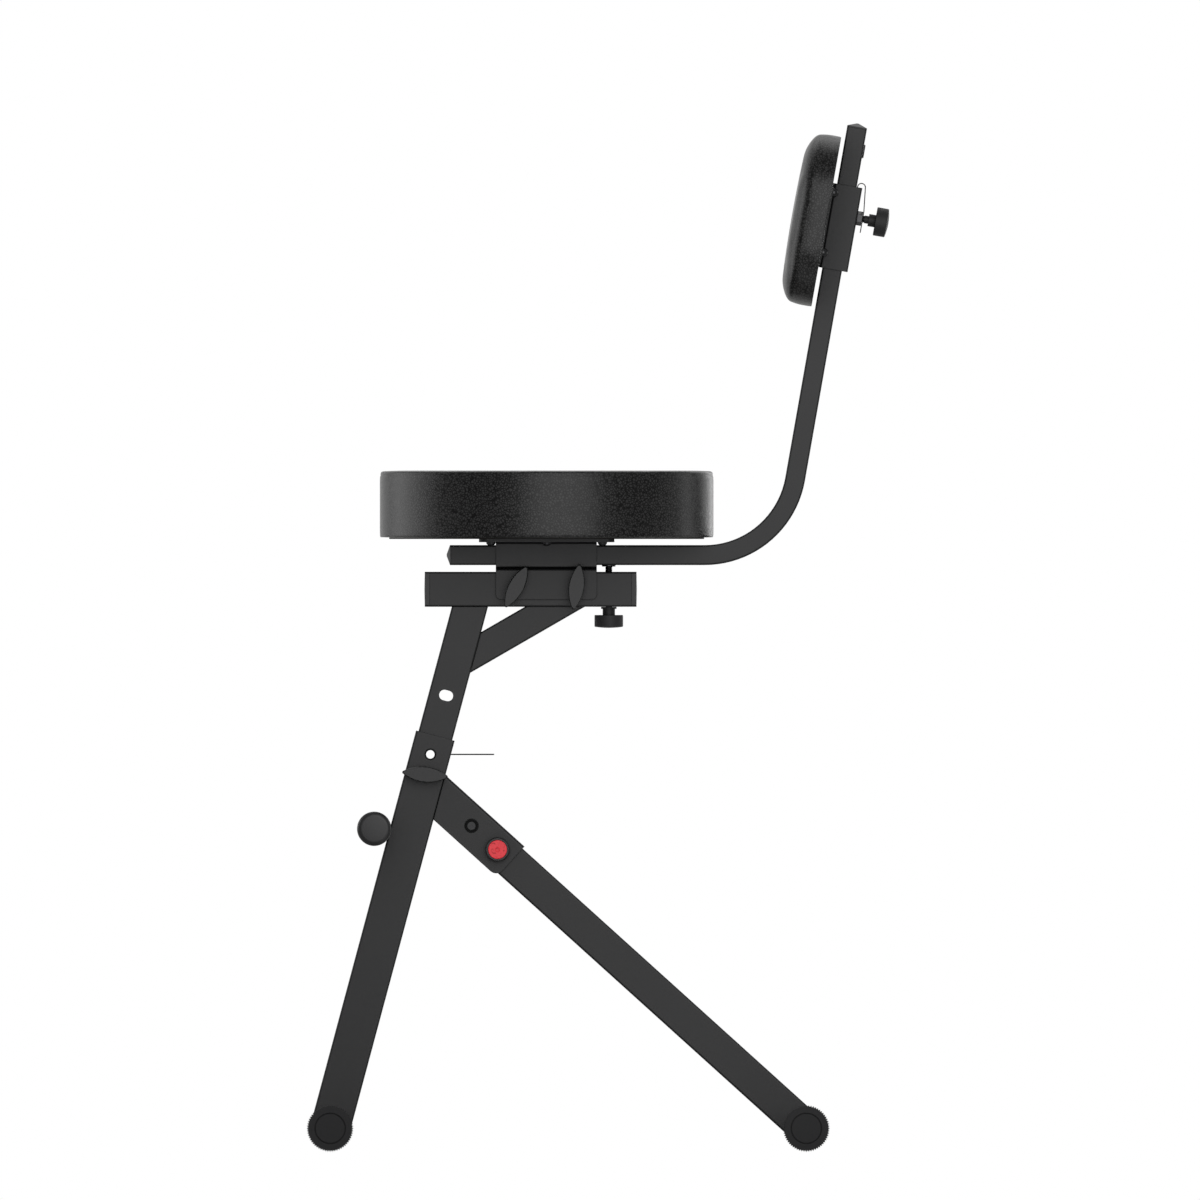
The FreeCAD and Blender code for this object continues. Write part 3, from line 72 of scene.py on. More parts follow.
bpy.ops.object.select_all(action="DESELECT")
camera_place = photo_centre - Vector((0, camera_distance, 0))
bpy.ops.object.camera_add(location=camera_place, rotation=(math.radians(90), 0, 0))
camera = bpy.context.object
camera.name = "side_view"
camera.data.type = "ORTHO"
camera.data.ortho_scale = photo_width
bpy.context.scene.camera = camera
bpy.context.scene.view_settings.view_transform = "Standard"
print("camera looks along +Y, frame", photo_width, "m wide")

# %% [markdown]
# ## Studio
#
# Black paint, nylon and vinyl show their shape only by what they reflect. A product studio hangs large soft
# boxes round them: one in front for the flat sides of the tubes, one at the left and one at the right that
# draw the bright bands on the round seat, a narrow one behind for the rims, a low strip in front for the
# undersides of round pieces, and one overhead. All but the overhead one are cards, which are seen in
# reflections only, so that they don't wash out the stool's shadow on the floor.

# %% Studio lights
scene = bpy.context.scene


def soft_box(name, place, target, width, height, radiance, card=False):
    """Area lamp of even brightness, with power to match its area. A card lights reflections only."""
    bpy.ops.object.light_add(type="AREA", location=place)
    lamp = bpy.context.object
    lamp.name = name
    lamp.rotation_euler = (Vector(target) - Vector(place)).to_track_quat("-Z", "Y").to_euler()
    lamp.data.shape = "RECTANGLE"
    lamp.data.size = width
    lamp.data.size_y = height
    lamp.data.energy = math.pi * width * height * radiance
    lamp.visible_camera = False
    lamp.visible_diffuse = not card
    return lamp


lamps = [
    soft_box("front_box", (0.4, -2.6, 1.4), (0.0, 0, 1.4), 2.3, 2.8, 7.3, card=True),
    soft_box("left_box", (-2.2, 0.65, 0.9), (0.0, 0, 0.6), 1.7, 1.6, 3.5, card=True),
    soft_box("right_box", (2.2, 0.85, 0.9), (0.0, 0, 0.6), 0.3, 1.6, 5.0, card=True),
    soft_box("rim_box", (1.05, 2.3, 0.9), (0.0, 0, 0.6), 0.4, 1.6, 3.0, card=True),
    soft_box("low_box", (0.09, -0.75, 0.004), (0.09, -0.75, 1.0), 0.2, 0.9, 3.5, card=True),
    soft_box("top_box", (0.0, 0.9, 2.6), (0.0, 0, 0.5), 2.2, 1.6, 1.8),
]
print("soft boxes:", [lamp.name for lamp in lamps])

# %% [markdown]
# ## Surroundings and floor
#
# The studio is white all round. The world is at full white where the camera or a reflection sees it, and a
# little weaker where it only lights the stool. The floor lies just under the feet and takes the shadow.

# %% Surroundings and floor
fill_strength, white_strength = 0.85, 1.0
floor_size, floor_drop = 12, 0.5 * mm

world = bpy.data.worlds.new("white_studio")
world.use_nodes = True
scene.world = world
sky = world.node_tree
sky.nodes.clear()


def add(tree, kind, inputs=None, **settings):
    """Add a node: settings are its own properties, inputs are socket values or the outputs linked to them."""
    made = tree.nodes.new("ShaderNode" + kind)
    for name, value in settings.items():
        setattr(made, name, value)
    for socket, value in (inputs or {}).items():
        if isinstance(value, bpy.types.NodeSocket):
            tree.links.new(value, made.inputs[socket])
        else:
            made.inputs[socket].default_value = value
    return made


path = add(sky, "LightPath")
seen = add(sky, "Math", {0: path.outputs["Is Camera Ray"], 1: path.outputs["Is Glossy Ray"]}, operation="ADD")
seen = add(sky, "Math", {0: seen.outputs[0], 1: path.outputs["Is Transmission Ray"]}, operation="ADD",
           use_clamp=True)
fill = add(sky, "Background", {"Color": (1, 1, 1, 1), "Strength": fill_strength})
white = add(sky, "Background", {"Color": (1, 1, 1, 1), "Strength": white_strength})
both = add(sky, "MixShader", {0: seen.outputs[0], 1: fill.outputs[0], 2: white.outputs[0]})
add(sky, "OutputWorld", {"Surface": both.outputs[0]})

bpy.ops.mesh.primitive_plane_add(size=floor_size, location=(0, 0, -floor_drop))
floor = bpy.context.object
floor.name = "studio_floor"
print("floor", floor_size, "m square, fill light", fill_strength, "and visible surroundings", white_strength)

# %% [markdown]
# ## Colour and scale
#
# Colours are given as sRGB hex values and turned to the linear values that the shader works in.
# Patterns are given in millimetres: a texture in object space repeats once per metre, so a grain of so many
# millimetres needs a scale of 1000 divided by it.

# %% Colour, scale and finish helpers
def linear(hex_value):
    """sRGB hex to linear RGBA."""
    channels = [int(hex_value[i:i + 2], 16) / 255 for i in (0, 2, 4)]
    return [c / 12.92 if c <= 0.04045 else ((c + 0.055) / 1.055) ** 2.4 for c in channels] + [1.0]


def per_mm(size):
    """Texture scale of a pattern that repeats every so many millimetres."""
    return 1000.0 / size


def new_finish(name, base, roughness, specular=0.5, metallic=0.0):
    """A material with a plain shader to build on, and its object-space coordinates."""
    finish = bpy.data.materials.new(name)
    finish.use_nodes = True
    tree = finish.node_tree
    tree.nodes.clear()
    shader = add(tree, "BsdfPrincipled", {"Base Color": linear(base), "Roughness": roughness,
                                          "Specular IOR Level": specular, "Metallic": metallic})
    add(tree, "OutputMaterial", {"Surface": shader.outputs[0]})
    place = add(tree, "TexCoord").outputs["Object"]
    return finish, tree, shader, place


def skin(tree, shader, height, strength, depth, edge=0.0):
    """Roughen the surface by a height pattern, with its sharp edges broken by a small radius."""
    relief = {"Height": height, "Strength": strength, "Distance": depth}
    if edge:
        relief["Normal"] = add(tree, "Bevel", {"Radius": edge}, samples=6).outputs["Normal"]
    tree.links.new(add(tree, "Bump", relief).outputs["Normal"], shader.inputs["Normal"])


def link(tree, output, shader, socket):
    """Let a pattern drive a socket of the shader."""
    tree.links.new(output, shader.inputs[socket])


print("black at hex 2b2b2c is linear", [round(v, 4) for v in linear("2b2b2c")[:3]])

# %% [markdown]
# ## Floor finish
#
# A pale painted floor with a faint unevenness, so that it stays plain and still takes the stool's shadow.

# %% Floor finish
pale, tree, shader, place = new_finish("pale_painted_floor", "f4f4f3", 0.7, 0.2)
patch = add(tree, "TexNoise", {"Vector": place, "Scale": per_mm(900), "Detail": 2.0})
tint = add(tree, "Mix", {"Factor": patch.outputs["Fac"], "A": linear("f1f1f0"), "B": linear("f7f7f6")},
           data_type="RGBA")
link(tree, tint.outputs["Result"], shader, "Base Color")
floor.data.materials.append(pale)
print("floor finish:", pale.name)

# %% [markdown]
# ## Powder-coated steel
#
# The tubes are mild steel with a semi-matt black polyester powder baked on. The powder flows out almost
# flat and leaves a faint orange-peel skin, with waves of one or two millimetres. It hides the steel, so the
# shader isn't a metal. The skin gives the eye a soft, even grey on each flat side and a blurred highlight
# on each rounded corner. The two thin plates under the pads have crisper edges than the tubes.

# %% Powder-coated steel
def powder_coat(name, edge):
    """Black powder coat on steel whose edges are broken by this radius."""
    finish, tree, shader, place = new_finish(name, "151516", 0.42, 0.105)
    drift = add(tree, "TexNoise", {"Vector": place, "Scale": per_mm(70), "Detail": 3.0})
    tint = add(tree, "Mix", {"Factor": drift.outputs["Fac"], "A": linear("131314"), "B": linear("181819")},
               data_type="RGBA")
    link(tree, tint.outputs["Result"], shader, "Base Color")
    peel = add(tree, "TexNoise", {"Vector": place, "Scale": per_mm(1.6), "Detail": 2.0, "Roughness": 0.4})
    gloss = add(tree, "MapRange", {"Value": drift.outputs["Fac"], "To Min": 0.39, "To Max": 0.45})
    link(tree, gloss.outputs["Result"], shader, "Roughness")
    skin(tree, shader, peel.outputs["Fac"], 0.25, 0.06 * mm, edge)
    return finish


coat = powder_coat("powder_coated_steel", 0.9 * mm)
plate_coat = powder_coat("powder_coated_sheet", 0.2 * mm)
print("orange peel of 1.6 mm on", coat.name, "and", plate_coat.name)

# %% [markdown]
# ## Plated and blackened steel
#
# Screws, studs and nuts are steel with black passivated zinc, a thin dark layer that still looks like
# metal. The lock rod inside the hinge has plain bright zinc. Both platings are mottled, so the pattern sits
# in the roughness. The star washer, the clip and the wire loop are spring steel, blackened in oil, and
# hardly reflect. The hinge pin is phosphated, and its fine crystals leave a dull grey speckle. They are too
# fine to show, so they are drawn at 1.3 mm.

# %% Plated and blackened steel
black_zinc, tree, shader, place = new_finish("black_zinc_steel", "161617", 0.22, 0.25, 0.5)
mottle = add(tree, "TexNoise", {"Vector": place, "Scale": per_mm(2.5), "Detail": 4.0})
gloss = add(tree, "MapRange", {"Value": mottle.outputs["Fac"], "To Min": 0.16, "To Max": 0.3})
link(tree, gloss.outputs["Result"], shader, "Roughness")
skin(tree, shader, mottle.outputs["Fac"], 0.15, 0.03 * mm, 0.4 * mm)
tint = add(tree, "Mix", {"Factor": mottle.outputs["Fac"], "A": linear("111112"), "B": linear("19191b")},
           data_type="RGBA")
link(tree, tint.outputs["Result"], shader, "Base Color")

bright_zinc, tree, shader, place = new_finish("bright_zinc_steel", "b9bcbf", 0.35, metallic=1.0)
mottle = add(tree, "TexNoise", {"Vector": place, "Scale": per_mm(3), "Detail": 4.0})
gloss = add(tree, "MapRange", {"Value": mottle.outputs["Fac"], "To Min": 0.27, "To Max": 0.45})
link(tree, gloss.outputs["Result"], shader, "Roughness")
tint = add(tree, "Mix", {"Factor": mottle.outputs["Fac"], "A": linear("b0b3b6"), "B": linear("c4c5c2")},
           data_type="RGBA")
link(tree, tint.outputs["Result"], shader, "Base Color")

spring, tree, shader, place = new_finish("blackened_spring_steel", "060606", 0.4, 0.015)
scale = add(tree, "TexNoise", {"Vector": place, "Scale": per_mm(1.5), "Detail": 3.0})
tint = add(tree, "Mix", {"Factor": scale.outputs["Fac"], "A": linear("040404"), "B": linear("0a0a0b")},
           data_type="RGBA")
link(tree, tint.outputs["Result"], shader, "Base Color")

phosphate, tree, shader, place = new_finish("phosphated_steel", "1a1a1b", 0.6, 0.16)
crystal = add(tree, "TexNoise", {"Vector": place, "Scale": per_mm(1.3), "Detail": 3.0, "Roughness": 0.7})
tint = add(tree, "Mix", {"Factor": crystal.outputs["Fac"], "A": linear("0c0c0d"), "B": linear("363638")},
           data_type="RGBA")
link(tree, tint.outputs["Result"], shader, "Base Color")
skin(tree, shader, crystal.outputs["Fac"], 0.5, 0.2 * mm)
print("steel finishes:", black_zinc.name, bright_zinc.name, spring.name, phosphate.name)

# %% [markdown]
# ## Moulded rubber and soft grip
#
# The toothed feet are moulded rubber: dull, dark and faintly speckled with filler, which is too fine to
# show and is drawn at 1.2 mm. The footrest sleeves are dipped soft vinyl, a little lighter and smoother,
# which is why their closed ends read brighter than the feet.

# %% Rubber feet and footrest grips
rubber, tree, shader, place = new_finish("moulded_rubber", "19191a", 0.75, 0.12)
speck = add(tree, "TexNoise", {"Vector": place, "Scale": per_mm(1.2), "Detail": 3.0, "Roughness": 0.6})
tint = add(tree, "Mix", {"Factor": speck.outputs["Fac"], "A": linear("141415"), "B": linear("1e1e1f")},
           data_type="RGBA")
link(tree, tint.outputs["Result"], shader, "Base Color")
skin(tree, shader, speck.outputs["Fac"], 0.3, 0.1 * mm, 0.6 * mm)

grip, tree, shader, place = new_finish("dipped_soft_vinyl", "191919", 0.42, 0.125)
cloud = add(tree, "TexNoise", {"Vector": place, "Scale": per_mm(14), "Detail": 3.0})
tint = add(tree, "Mix", {"Factor": cloud.outputs["Fac"], "A": linear("171718"), "B": linear("1d1d1e")},
           data_type="RGBA")
link(tree, tint.outputs["Result"], shader, "Base Color")
ripple = add(tree, "TexNoise", {"Vector": place, "Scale": per_mm(2.2), "Detail": 1.0})
skin(tree, shader, ripple.outputs["Fac"], 0.25, 0.08 * mm)
print("rubber finishes:", rubber.name, grip.name)

# %% [markdown]
# ## Black and red nylon
#
# Knobs, wings, tube plugs and the button's housing are black nylon from a spark-eroded mould. Real grains
# of a few tenths of a millimetre are too fine for this render, so they are drawn at 0.9 mm. The round knobs
# are rougher, for the hand, and look evenly grey all round. The release button is red nylon, with a few
# darker flow marks.

# %% Nylon mouldings
nylon, tree, shader, place = new_finish("moulded_black_nylon", "161617", 0.28, 0.085)
spark = add(tree, "TexNoise", {"Vector": place, "Scale": per_mm(0.9), "Detail": 2.0})
tint = add(tree, "Mix", {"Factor": spark.outputs["Fac"], "A": linear("141415"), "B": linear("1a1a1b")},
           data_type="RGBA")
link(tree, tint.outputs["Result"], shader, "Base Color")
skin(tree, shader, spark.outputs["Fac"], 0.2, 0.05 * mm, 0.5 * mm)

knob_nylon, tree, shader, place = new_finish("textured_black_nylon", "1d1d1e", 0.6, 0.12)
spark = add(tree, "TexNoise", {"Vector": place, "Scale": per_mm(0.9), "Detail": 2.0})
tint = add(tree, "Mix", {"Factor": spark.outputs["Fac"], "A": linear("1a1a1b"), "B": linear("212122")},
           data_type="RGBA")
link(tree, tint.outputs["Result"], shader, "Base Color")
skin(tree, shader, spark.outputs["Fac"], 0.3, 0.08 * mm, 0.5 * mm)

red, tree, shader, place = new_finish("moulded_red_nylon", "c62b36", 0.4, 0.1)
flow = add(tree, "TexNoise", {"Vector": place, "Scale": per_mm(3.2), "Detail": 3.0, "Roughness": 0.6})
marks = add(tree, "ValToRGB", {"Fac": flow.outputs["Fac"]})
marks.color_ramp.elements[0].position, marks.color_ramp.elements[0].color = 0.36, linear("ac0f1b")
marks.color_ramp.elements[1].position, marks.color_ramp.elements[1].color = 0.46, linear("e03640")
link(tree, marks.outputs["Color"], shader, "Base Color")
skin(tree, shader, flow.outputs["Fac"], 0.15, 0.05 * mm, 0.5 * mm)
print("nylon finishes:", nylon.name, knob_nylon.name, red.name)

# %% [markdown]
# ## Grained vinyl
#
# The pads are covered in upholstery vinyl, embossed by a roller with a leather grain of small pebbles, 2 to
# 3 mm across. The pebbles are dark grey, and the valleys between them are painted black: painted shade for
# the shade that falls into the creases of the grain. All of it has one soft gloss, so a highlight nearly
# hides the grain, and the parts that reflect no lamp look stippled by that painted shade. A Voronoi pattern
# gives the cells, and noise bends its coordinates so that no cell has straight sides.

# %% Grained vinyl
vinyl, tree, shader, place = new_finish("grained_black_vinyl", "0c0c0c", 0.3, 0.09)
bend = add(tree, "TexNoise", {"Vector": place, "Scale": per_mm(4.0), "Detail": 2.0})
shift = add(tree, "VectorMath", {0: bend.outputs["Color"], 1: (0.5, 0.5, 0.5)}, operation="SUBTRACT")
shift = add(tree, "VectorMath", {0: shift.outputs[0], "Scale": 1.6 * mm}, operation="SCALE")
bent = add(tree, "VectorMath", {0: place, 1: shift.outputs[0]}, operation="ADD")
cells = add(tree, "TexVoronoi", {"Vector": bent.outputs[0], "Scale": per_mm(2.6)}, feature="DISTANCE_TO_EDGE")
pebble_and_valley_shade = add(tree, "MapRange", {"Value": cells.outputs["Distance"], "From Min": 0.07, "From Max": 0.2},
             interpolation_type="SMOOTHSTEP")
# Painted shade: the grain's valleys run to black and its pebbles to dark grey, for the shade in the creases.
tint = add(tree, "Mix", {"Factor": pebble_and_valley_shade.outputs["Result"], "A": linear("000000"), "B": linear("2a2a2a")},
           data_type="RGBA")
link(tree, tint.outputs["Result"], shader, "Base Color")
gloss = add(tree, "MapRange", {"Value": pebble_and_valley_shade.outputs["Result"], "To Min": 0.29, "To Max": 0.34})
link(tree, gloss.outputs["Result"], shader, "Roughness")
skin(tree, shader, pebble_and_valley_shade.outputs["Result"], 1.0, 0.06 * mm)
print("vinyl grain of 2.6 mm on", vinyl.name)

# %% [markdown]
# ## Stained plywood
#
# Each pad is stapled over a plywood board, stained black so that its edge doesn't show under the cover.
# Only a line of it is seen, and its back. The grain runs across the stool: noise stretched along Y.

# %% Stained plywood
ply, tree, shader, place = new_finish("black_stained_plywood", "11100f", 0.7, 0.1)
along = add(tree, "Mapping", {"Vector": place, "Scale": (1.0, 0.06, 1.0)})
fibre = add(tree, "TexNoise", {"Vector": along.outputs[0], "Scale": per_mm(4), "Detail": 5.0,
                               "Roughness": 0.65})
tint = add(tree, "Mix", {"Factor": fibre.outputs["Fac"], "A": linear("0b0b0a"), "B": linear("181614")},
           data_type="RGBA")
link(tree, tint.outputs["Result"], shader, "Base Color")
skin(tree, shader, fibre.outputs["Fac"], 0.3, 0.15 * mm)
print("wood finish:", ply.name)

# %% [markdown]
# ## Finishes on the CAD pieces
#
# Each CAD piece keeps its mesh and only gets its finish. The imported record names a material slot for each
# piece, and the slots map onto the finishes above. The washer, the clip, the wire loop, the hinge pin and
# the two plates under the pads have finishes of their own.

# %% Put the finishes on
slot_finish = {"black_powder_coat": coat, "black_zinc": black_zinc, "zinc_steel": bright_zinc,
               "rubber": rubber, "black_nylon": nylon, "red_nylon": red, "black_vinyl": vinyl, "plywood": ply}
special = {"pivot_star_washer": spring, "leaf_clip": spring, "lock_pin_loop": spring, "pivot_pin": phosphate,
           "backrest_plate": plate_coat, "seat_plate": plate_coat}
for name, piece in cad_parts.items():
    finish = special.get(name) or slot_finish[piece.data.materials[0].name]
    piece.data.materials.clear()
    piece.data.materials.append(finish)
print("finished", len(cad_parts), "CAD pieces")

# %% [markdown]
# ## Modelling by hand, in code
#
# New pieces are made with the same operators as by hand. A round piece starts as one point, is extruded
# along its half outline and spun round its axis. Everything else is deselected first, because an operator
# acts on all that is selected.

# %% Modelling helpers
def only(piece):
    """Select this piece alone, in object mode."""
    if bpy.context.object and bpy.context.object.mode != "OBJECT":
        bpy.ops.object.mode_set(mode="OBJECT")
    bpy.ops.object.select_all(action="DESELECT")
    piece.select_set(True)
    bpy.context.view_layer.objects.active = piece


def pick(piece, kind, wanted):
    """In edit mode, select the vertices, edges or faces that pass the test, and no others."""
    bpy.ops.mesh.select_mode(type=kind)
    bpy.ops.mesh.select_all(action="DESELECT")
    bpy.ops.object.mode_set(mode="OBJECT")
    items = {"VERT": piece.data.vertices, "EDGE": piece.data.edges, "FACE": piece.data.polygons}[kind]
    for item in items:
        item.select = wanted(item)
    bpy.ops.object.mode_set(mode="EDIT")


def spun(name, outline, steps):
    """Spin an outline of (radius, height) points round the Z axis into a closed piece."""
    bpy.ops.object.select_all(action="DESELECT")
    bpy.ops.mesh.primitive_plane_add(size=0.01, location=(0, 0, 0))
    piece = bpy.context.object
    piece.name = name
    bpy.ops.object.mode_set(mode="EDIT")
    bpy.ops.mesh.select_mode(type="VERT")
    bpy.ops.mesh.select_all(action="SELECT")
    bpy.ops.mesh.merge(type="CENTER")
    last = Vector((0, 0, 0))
    for index, (radius, height) in enumerate(outline):
        point = Vector((radius, 0, height))
        step = {"value": point - last}
        if index == 0:
            bpy.ops.transform.translate(**step)
        else:
            bpy.ops.mesh.extrude_region_move(TRANSFORM_OT_translate=step)
        last = point
    bpy.ops.mesh.select_all(action="SELECT")
    bpy.ops.mesh.spin(steps=steps, angle=2 * math.pi, center=(0, 0, 0), axis=(0, 0, 1))
    bpy.ops.mesh.select_all(action="SELECT")
    bpy.ops.mesh.remove_doubles(threshold=1e-6)
    bpy.ops.mesh.normals_make_consistent(inside=False)
    bpy.ops.object.mode_set(mode="OBJECT")
    return piece


def stand(piece, origin, axis):
    """Move a piece made round Z to its origin, with its Z along the axis, and apply that to its mesh."""
    only(piece)
    piece.rotation_euler = Vector(axis).to_track_quat("Z", "Y").to_euler()
    piece.location = origin
    bpy.ops.object.transform_apply(location=True, rotation=True, scale=True)
    return piece


def own_finish(piece, finish, body, slot, *nodes):
    """Give a new piece its finish, the body that it moves with, and the CAD nodes that it stands for."""
    piece.data.materials.clear()
    piece.data.materials.append(finish)
    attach(piece, body)
    if nodes:
        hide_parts(*nodes)
    return piece


print("modelling helpers ready")

# %% [markdown]
# ## Swelling a cover
#
# Vinyl is stretched over foam that is cut a little large, so the foam pushes the cover out everywhere
# except where it is sewn or stapled. Cloth with a little pressure does the same: the stapled and sewn
# points are pinned, the rest swells, and the movement is held to what a tight cover allows. The pad starts
# that much smaller than its size.

# %% Cloth helper
cloth_pressure, cloth_frames = 4.0, 20


def swell(piece, pinned, limit):
    """Blow a cover out by cloth pressure, with pinned points held, and keep each point within the limit."""
    only(piece)
    start = [v.co.copy() for v in piece.data.vertices]
    group = piece.vertex_groups.new(name="held")
    group.add([v.index for v in piece.data.vertices if pinned(v.co)], 1.0, "REPLACE")
    bpy.ops.object.modifier_add(type="CLOTH")
    cloth = piece.modifiers[-1]
    cloth.settings.vertex_group_mass = "held"
    cloth.settings.use_pressure = True
    cloth.settings.uniform_pressure_force = cloth_pressure
    cloth.settings.effector_weights.gravity = 0.0
    cloth.settings.quality = 6
    cloth.collision_settings.use_collision = False
    cloth.point_cache.frame_start = 1
    cloth.point_cache.frame_end = cloth_frames
    for number in range(1, cloth_frames + 1):
        scene.frame_set(number)
    bpy.ops.object.modifier_apply(modifier=cloth.name)
    most = 0.0
    for vertex, first in zip(piece.data.vertices, start):
        move = vertex.co - first
        if move.length > 1e-9:
            most = max(most, move.length)
            vertex.co = first + move.normalized() * limit * math.tanh(move.length / limit)
    scene.frame_set(1)
    return most


def smoothed(piece, levels):
    """Subdivide a finished cover and shade it smooth."""
    only(piece)
    bpy.ops.object.modifier_add(type="SUBSURF")
    soft = piece.modifiers[-1]
    soft.levels = soft.render_levels = levels
    bpy.ops.object.modifier_apply(modifier=soft.name)
    bpy.ops.object.shade_smooth()
    return len(piece.data.polygons)


print("cloth helper ready, quick run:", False)

# %% [markdown]
# ## Seat cover
#
# The seat is a flat round pad with a straight wall. A top panel and a side band meet in a plain seam, just
# under the rounded top edge, and the band is gathered over the lower edge to the board. The outline is
# drawn from the middle of the board's recess, out under the rim, up the wall, over the seam and the edge,
# and back to the middle of the top.

# %% Seat cover
low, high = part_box("seat_cushion")
seat_centre = (low + high) / 2
seat_radius = (high.x - low.x) / 2
seat_low, seat_top = low.z, high.z
board_low, board_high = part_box("seat_board")
board_play = 0.3 * mm
recess_radius = (board_high.x - board_low.x) / 2 + board_play
recess_top = board_high.z + board_play
swelling, seat_cap = 0.4 * mm, 0.5 * mm
edge_round, foot_round = 3.0 * mm, 1.8 * mm
wall_rings, top_rings, seat_steps = 8, 19, 128
gathers, gather_depth = 64, 0.5 * mm
seam = (0.9 * mm, seat_top - 4.6 * mm)
wall = seat_radius - swelling
lid = seat_top - 0.2 * mm

outline = [(0.0, recess_top), (recess_radius * 0.5, recess_top), (recess_radius, recess_top),
           (recess_radius, seat_low + 4 * mm), (recess_radius + 0.4 * mm, seat_low),
           (wall - 5 * mm, seat_low), (wall - 1.6 * mm, seat_low), (wall - 0.4 * mm, seat_low + 0.5 * mm),
           (wall, seat_low + foot_round)]
rise = seam[1] - 1.2 * mm - (seat_low + foot_round)
outline += [(wall, seat_low + foot_round + rise * k / wall_rings) for k in range(1, wall_rings + 1)]
outline += [(wall - seam[0], seam[1]), (wall, seam[1] + 0.9 * mm)]
for turn in (22.5, 45, 67.5, 90):
    angle = math.radians(turn)
    outline.append((wall - edge_round * (1 - math.cos(angle)), lid - edge_round * (1 - math.sin(angle))))
inside = wall - edge_round
outline += [(inside - 1.5 * mm, lid)]
outline += [(inside * (1 - k / top_rings), lid) for k in range(1, top_rings + 1)]
seat_cover = spun("seat_cover", [(r, z - seat_centre.z) for r, z in outline], seat_steps)
stand(seat_cover, seat_centre, (0, 0, 1))


def seat_held(point):
    """The recess, the gathered underside and the seam."""
    from_axis = math.hypot(point.x - seat_centre.x, point.y)
    return point.z < seat_low + 0.1 * mm or from_axis < recess_radius + mm and point.z < recess_top + mm \
        or abs(point.z - seam[1]) < 0.1 * mm


moved = swell(seat_cover, seat_held, seat_cap)
for vertex in seat_cover.data.vertices:
    from_axis = math.hypot(vertex.co.x - seat_centre.x, vertex.co.y)
    if vertex.co.z < seat_low + 0.2 * mm and recess_radius + mm < from_axis < wall - mm:
        around = math.atan2(vertex.co.y, vertex.co.x - seat_centre.x)
        vertex.co.z += gather_depth * (1 + math.sin(gathers * around))
faces = smoothed(seat_cover, 1)
own_finish(seat_cover, vinyl, "seat", "black_vinyl", "seat_cushion")
corners = [seat_cover.matrix_world @ Vector(corner) for corner in seat_cover.bound_box]
print("seat cover from", [round(min(c[i] for c in corners) / mm, 2) for i in range(3)],
      "to", [round(max(c[i] for c in corners) / mm, 2) for i in range(3)])
print("seat cover:", faces, "faces, swelled up to", round(moved / mm, 2), "mm before it was held")

# %% [markdown]
# ## Backrest cover
#
# The back is a rounded rectangle with a straight wall behind and a wide round to the front. By hand that is
# a plane with its corners bevelled, extruded for the wall, then inset and raised in steps along a quarter
# of an ellipse, and closed with a grid. It is made lying flat at the origin, its front upwards, and leans
# with the bar at the end.

# %% Backrest cover
lean = math.radians(10)
bar_up = Vector((math.sin(lean), 0, math.cos(lean)))
bar_rear = Vector((math.cos(lean), 0, -math.sin(lean)))
board_low, board_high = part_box("backrest_board")
board_thick = 9 * mm
pad_back = (board_low + board_high) / 2 + bar_rear * board_thick / 2
pad_height, pad_width, pad_corner = 172 * mm, 290 * mm, 62 * mm
pad_wall, pad_round, pad_rise, pad_crown = 20 * mm, 30 * mm, 13.4 * mm, 1.2 * mm
tight, pad_cap = 0.3 * mm, 0.6 * mm
rim_width, hem = 11 * mm, 1.2 * mm
corner_steps, round_steps = 12, 10
grid_span, grid_offset = 18, -8
side_cuts = ((1, 1, 5), (1, -1, 5), (0, 1, 19), (0, -1, 19))
wall_rises = (1.2 * mm, 6.3 * mm, 6.3 * mm, 6.2 * mm)

bpy.ops.object.select_all(action="DESELECT")
bpy.ops.mesh.primitive_plane_add(size=1, location=(0, 0, 0))
back_cover = bpy.context.object
back_cover.name = "backrest_cover"
back_cover.scale = (pad_height - 2 * tight, pad_width - 2 * tight, 1)
bpy.ops.object.transform_apply(location=True, rotation=True, scale=True)
bpy.ops.object.mode_set(mode="EDIT")
bpy.ops.mesh.select_mode(type="VERT")
bpy.ops.mesh.select_all(action="SELECT")
bpy.ops.mesh.bevel(offset=pad_corner - tight, offset_type="OFFSET", segments=corner_steps, affect="VERTICES")


def on_side(axis, way):
    """Test for the straight edge on one side of the outline."""
    points = back_cover.data.vertices

    def test(edge):
        one, two = (points[i].co for i in edge.vertices)
        return (two - one).length > 20 * mm and abs(one[axis] - two[axis]) < mm and one[axis] * way > 0
    return test


for axis, way, cuts in side_cuts:
    pick(back_cover, "EDGE", on_side(axis, way))
    bpy.ops.mesh.subdivide(number_cuts=cuts)
pick(back_cover, "FACE", lambda face: True)
for rise in wall_rises:
    bpy.ops.mesh.extrude_region_move(TRANSFORM_OT_translate={"value": (0, 0, rise)})
sweep = [math.radians(90 * k / round_steps) for k in range(round_steps + 1)]
for before, after in zip(sweep, sweep[1:]):
    bpy.ops.mesh.inset(thickness=pad_round * (math.cos(before) - math.cos(after)),
                       depth=pad_rise * (math.sin(after) - math.sin(before)))
print("backrest cover: wall and round of", len(wall_rises) + round_steps, "steps")

# %% [markdown]
# ## Closing the backrest cover
#
# A grid fills the front, so that its faces stay square and can swell evenly, and it is crowned a little.
# Behind, the hem is inset, and the recess that holds the board is sunk into it.

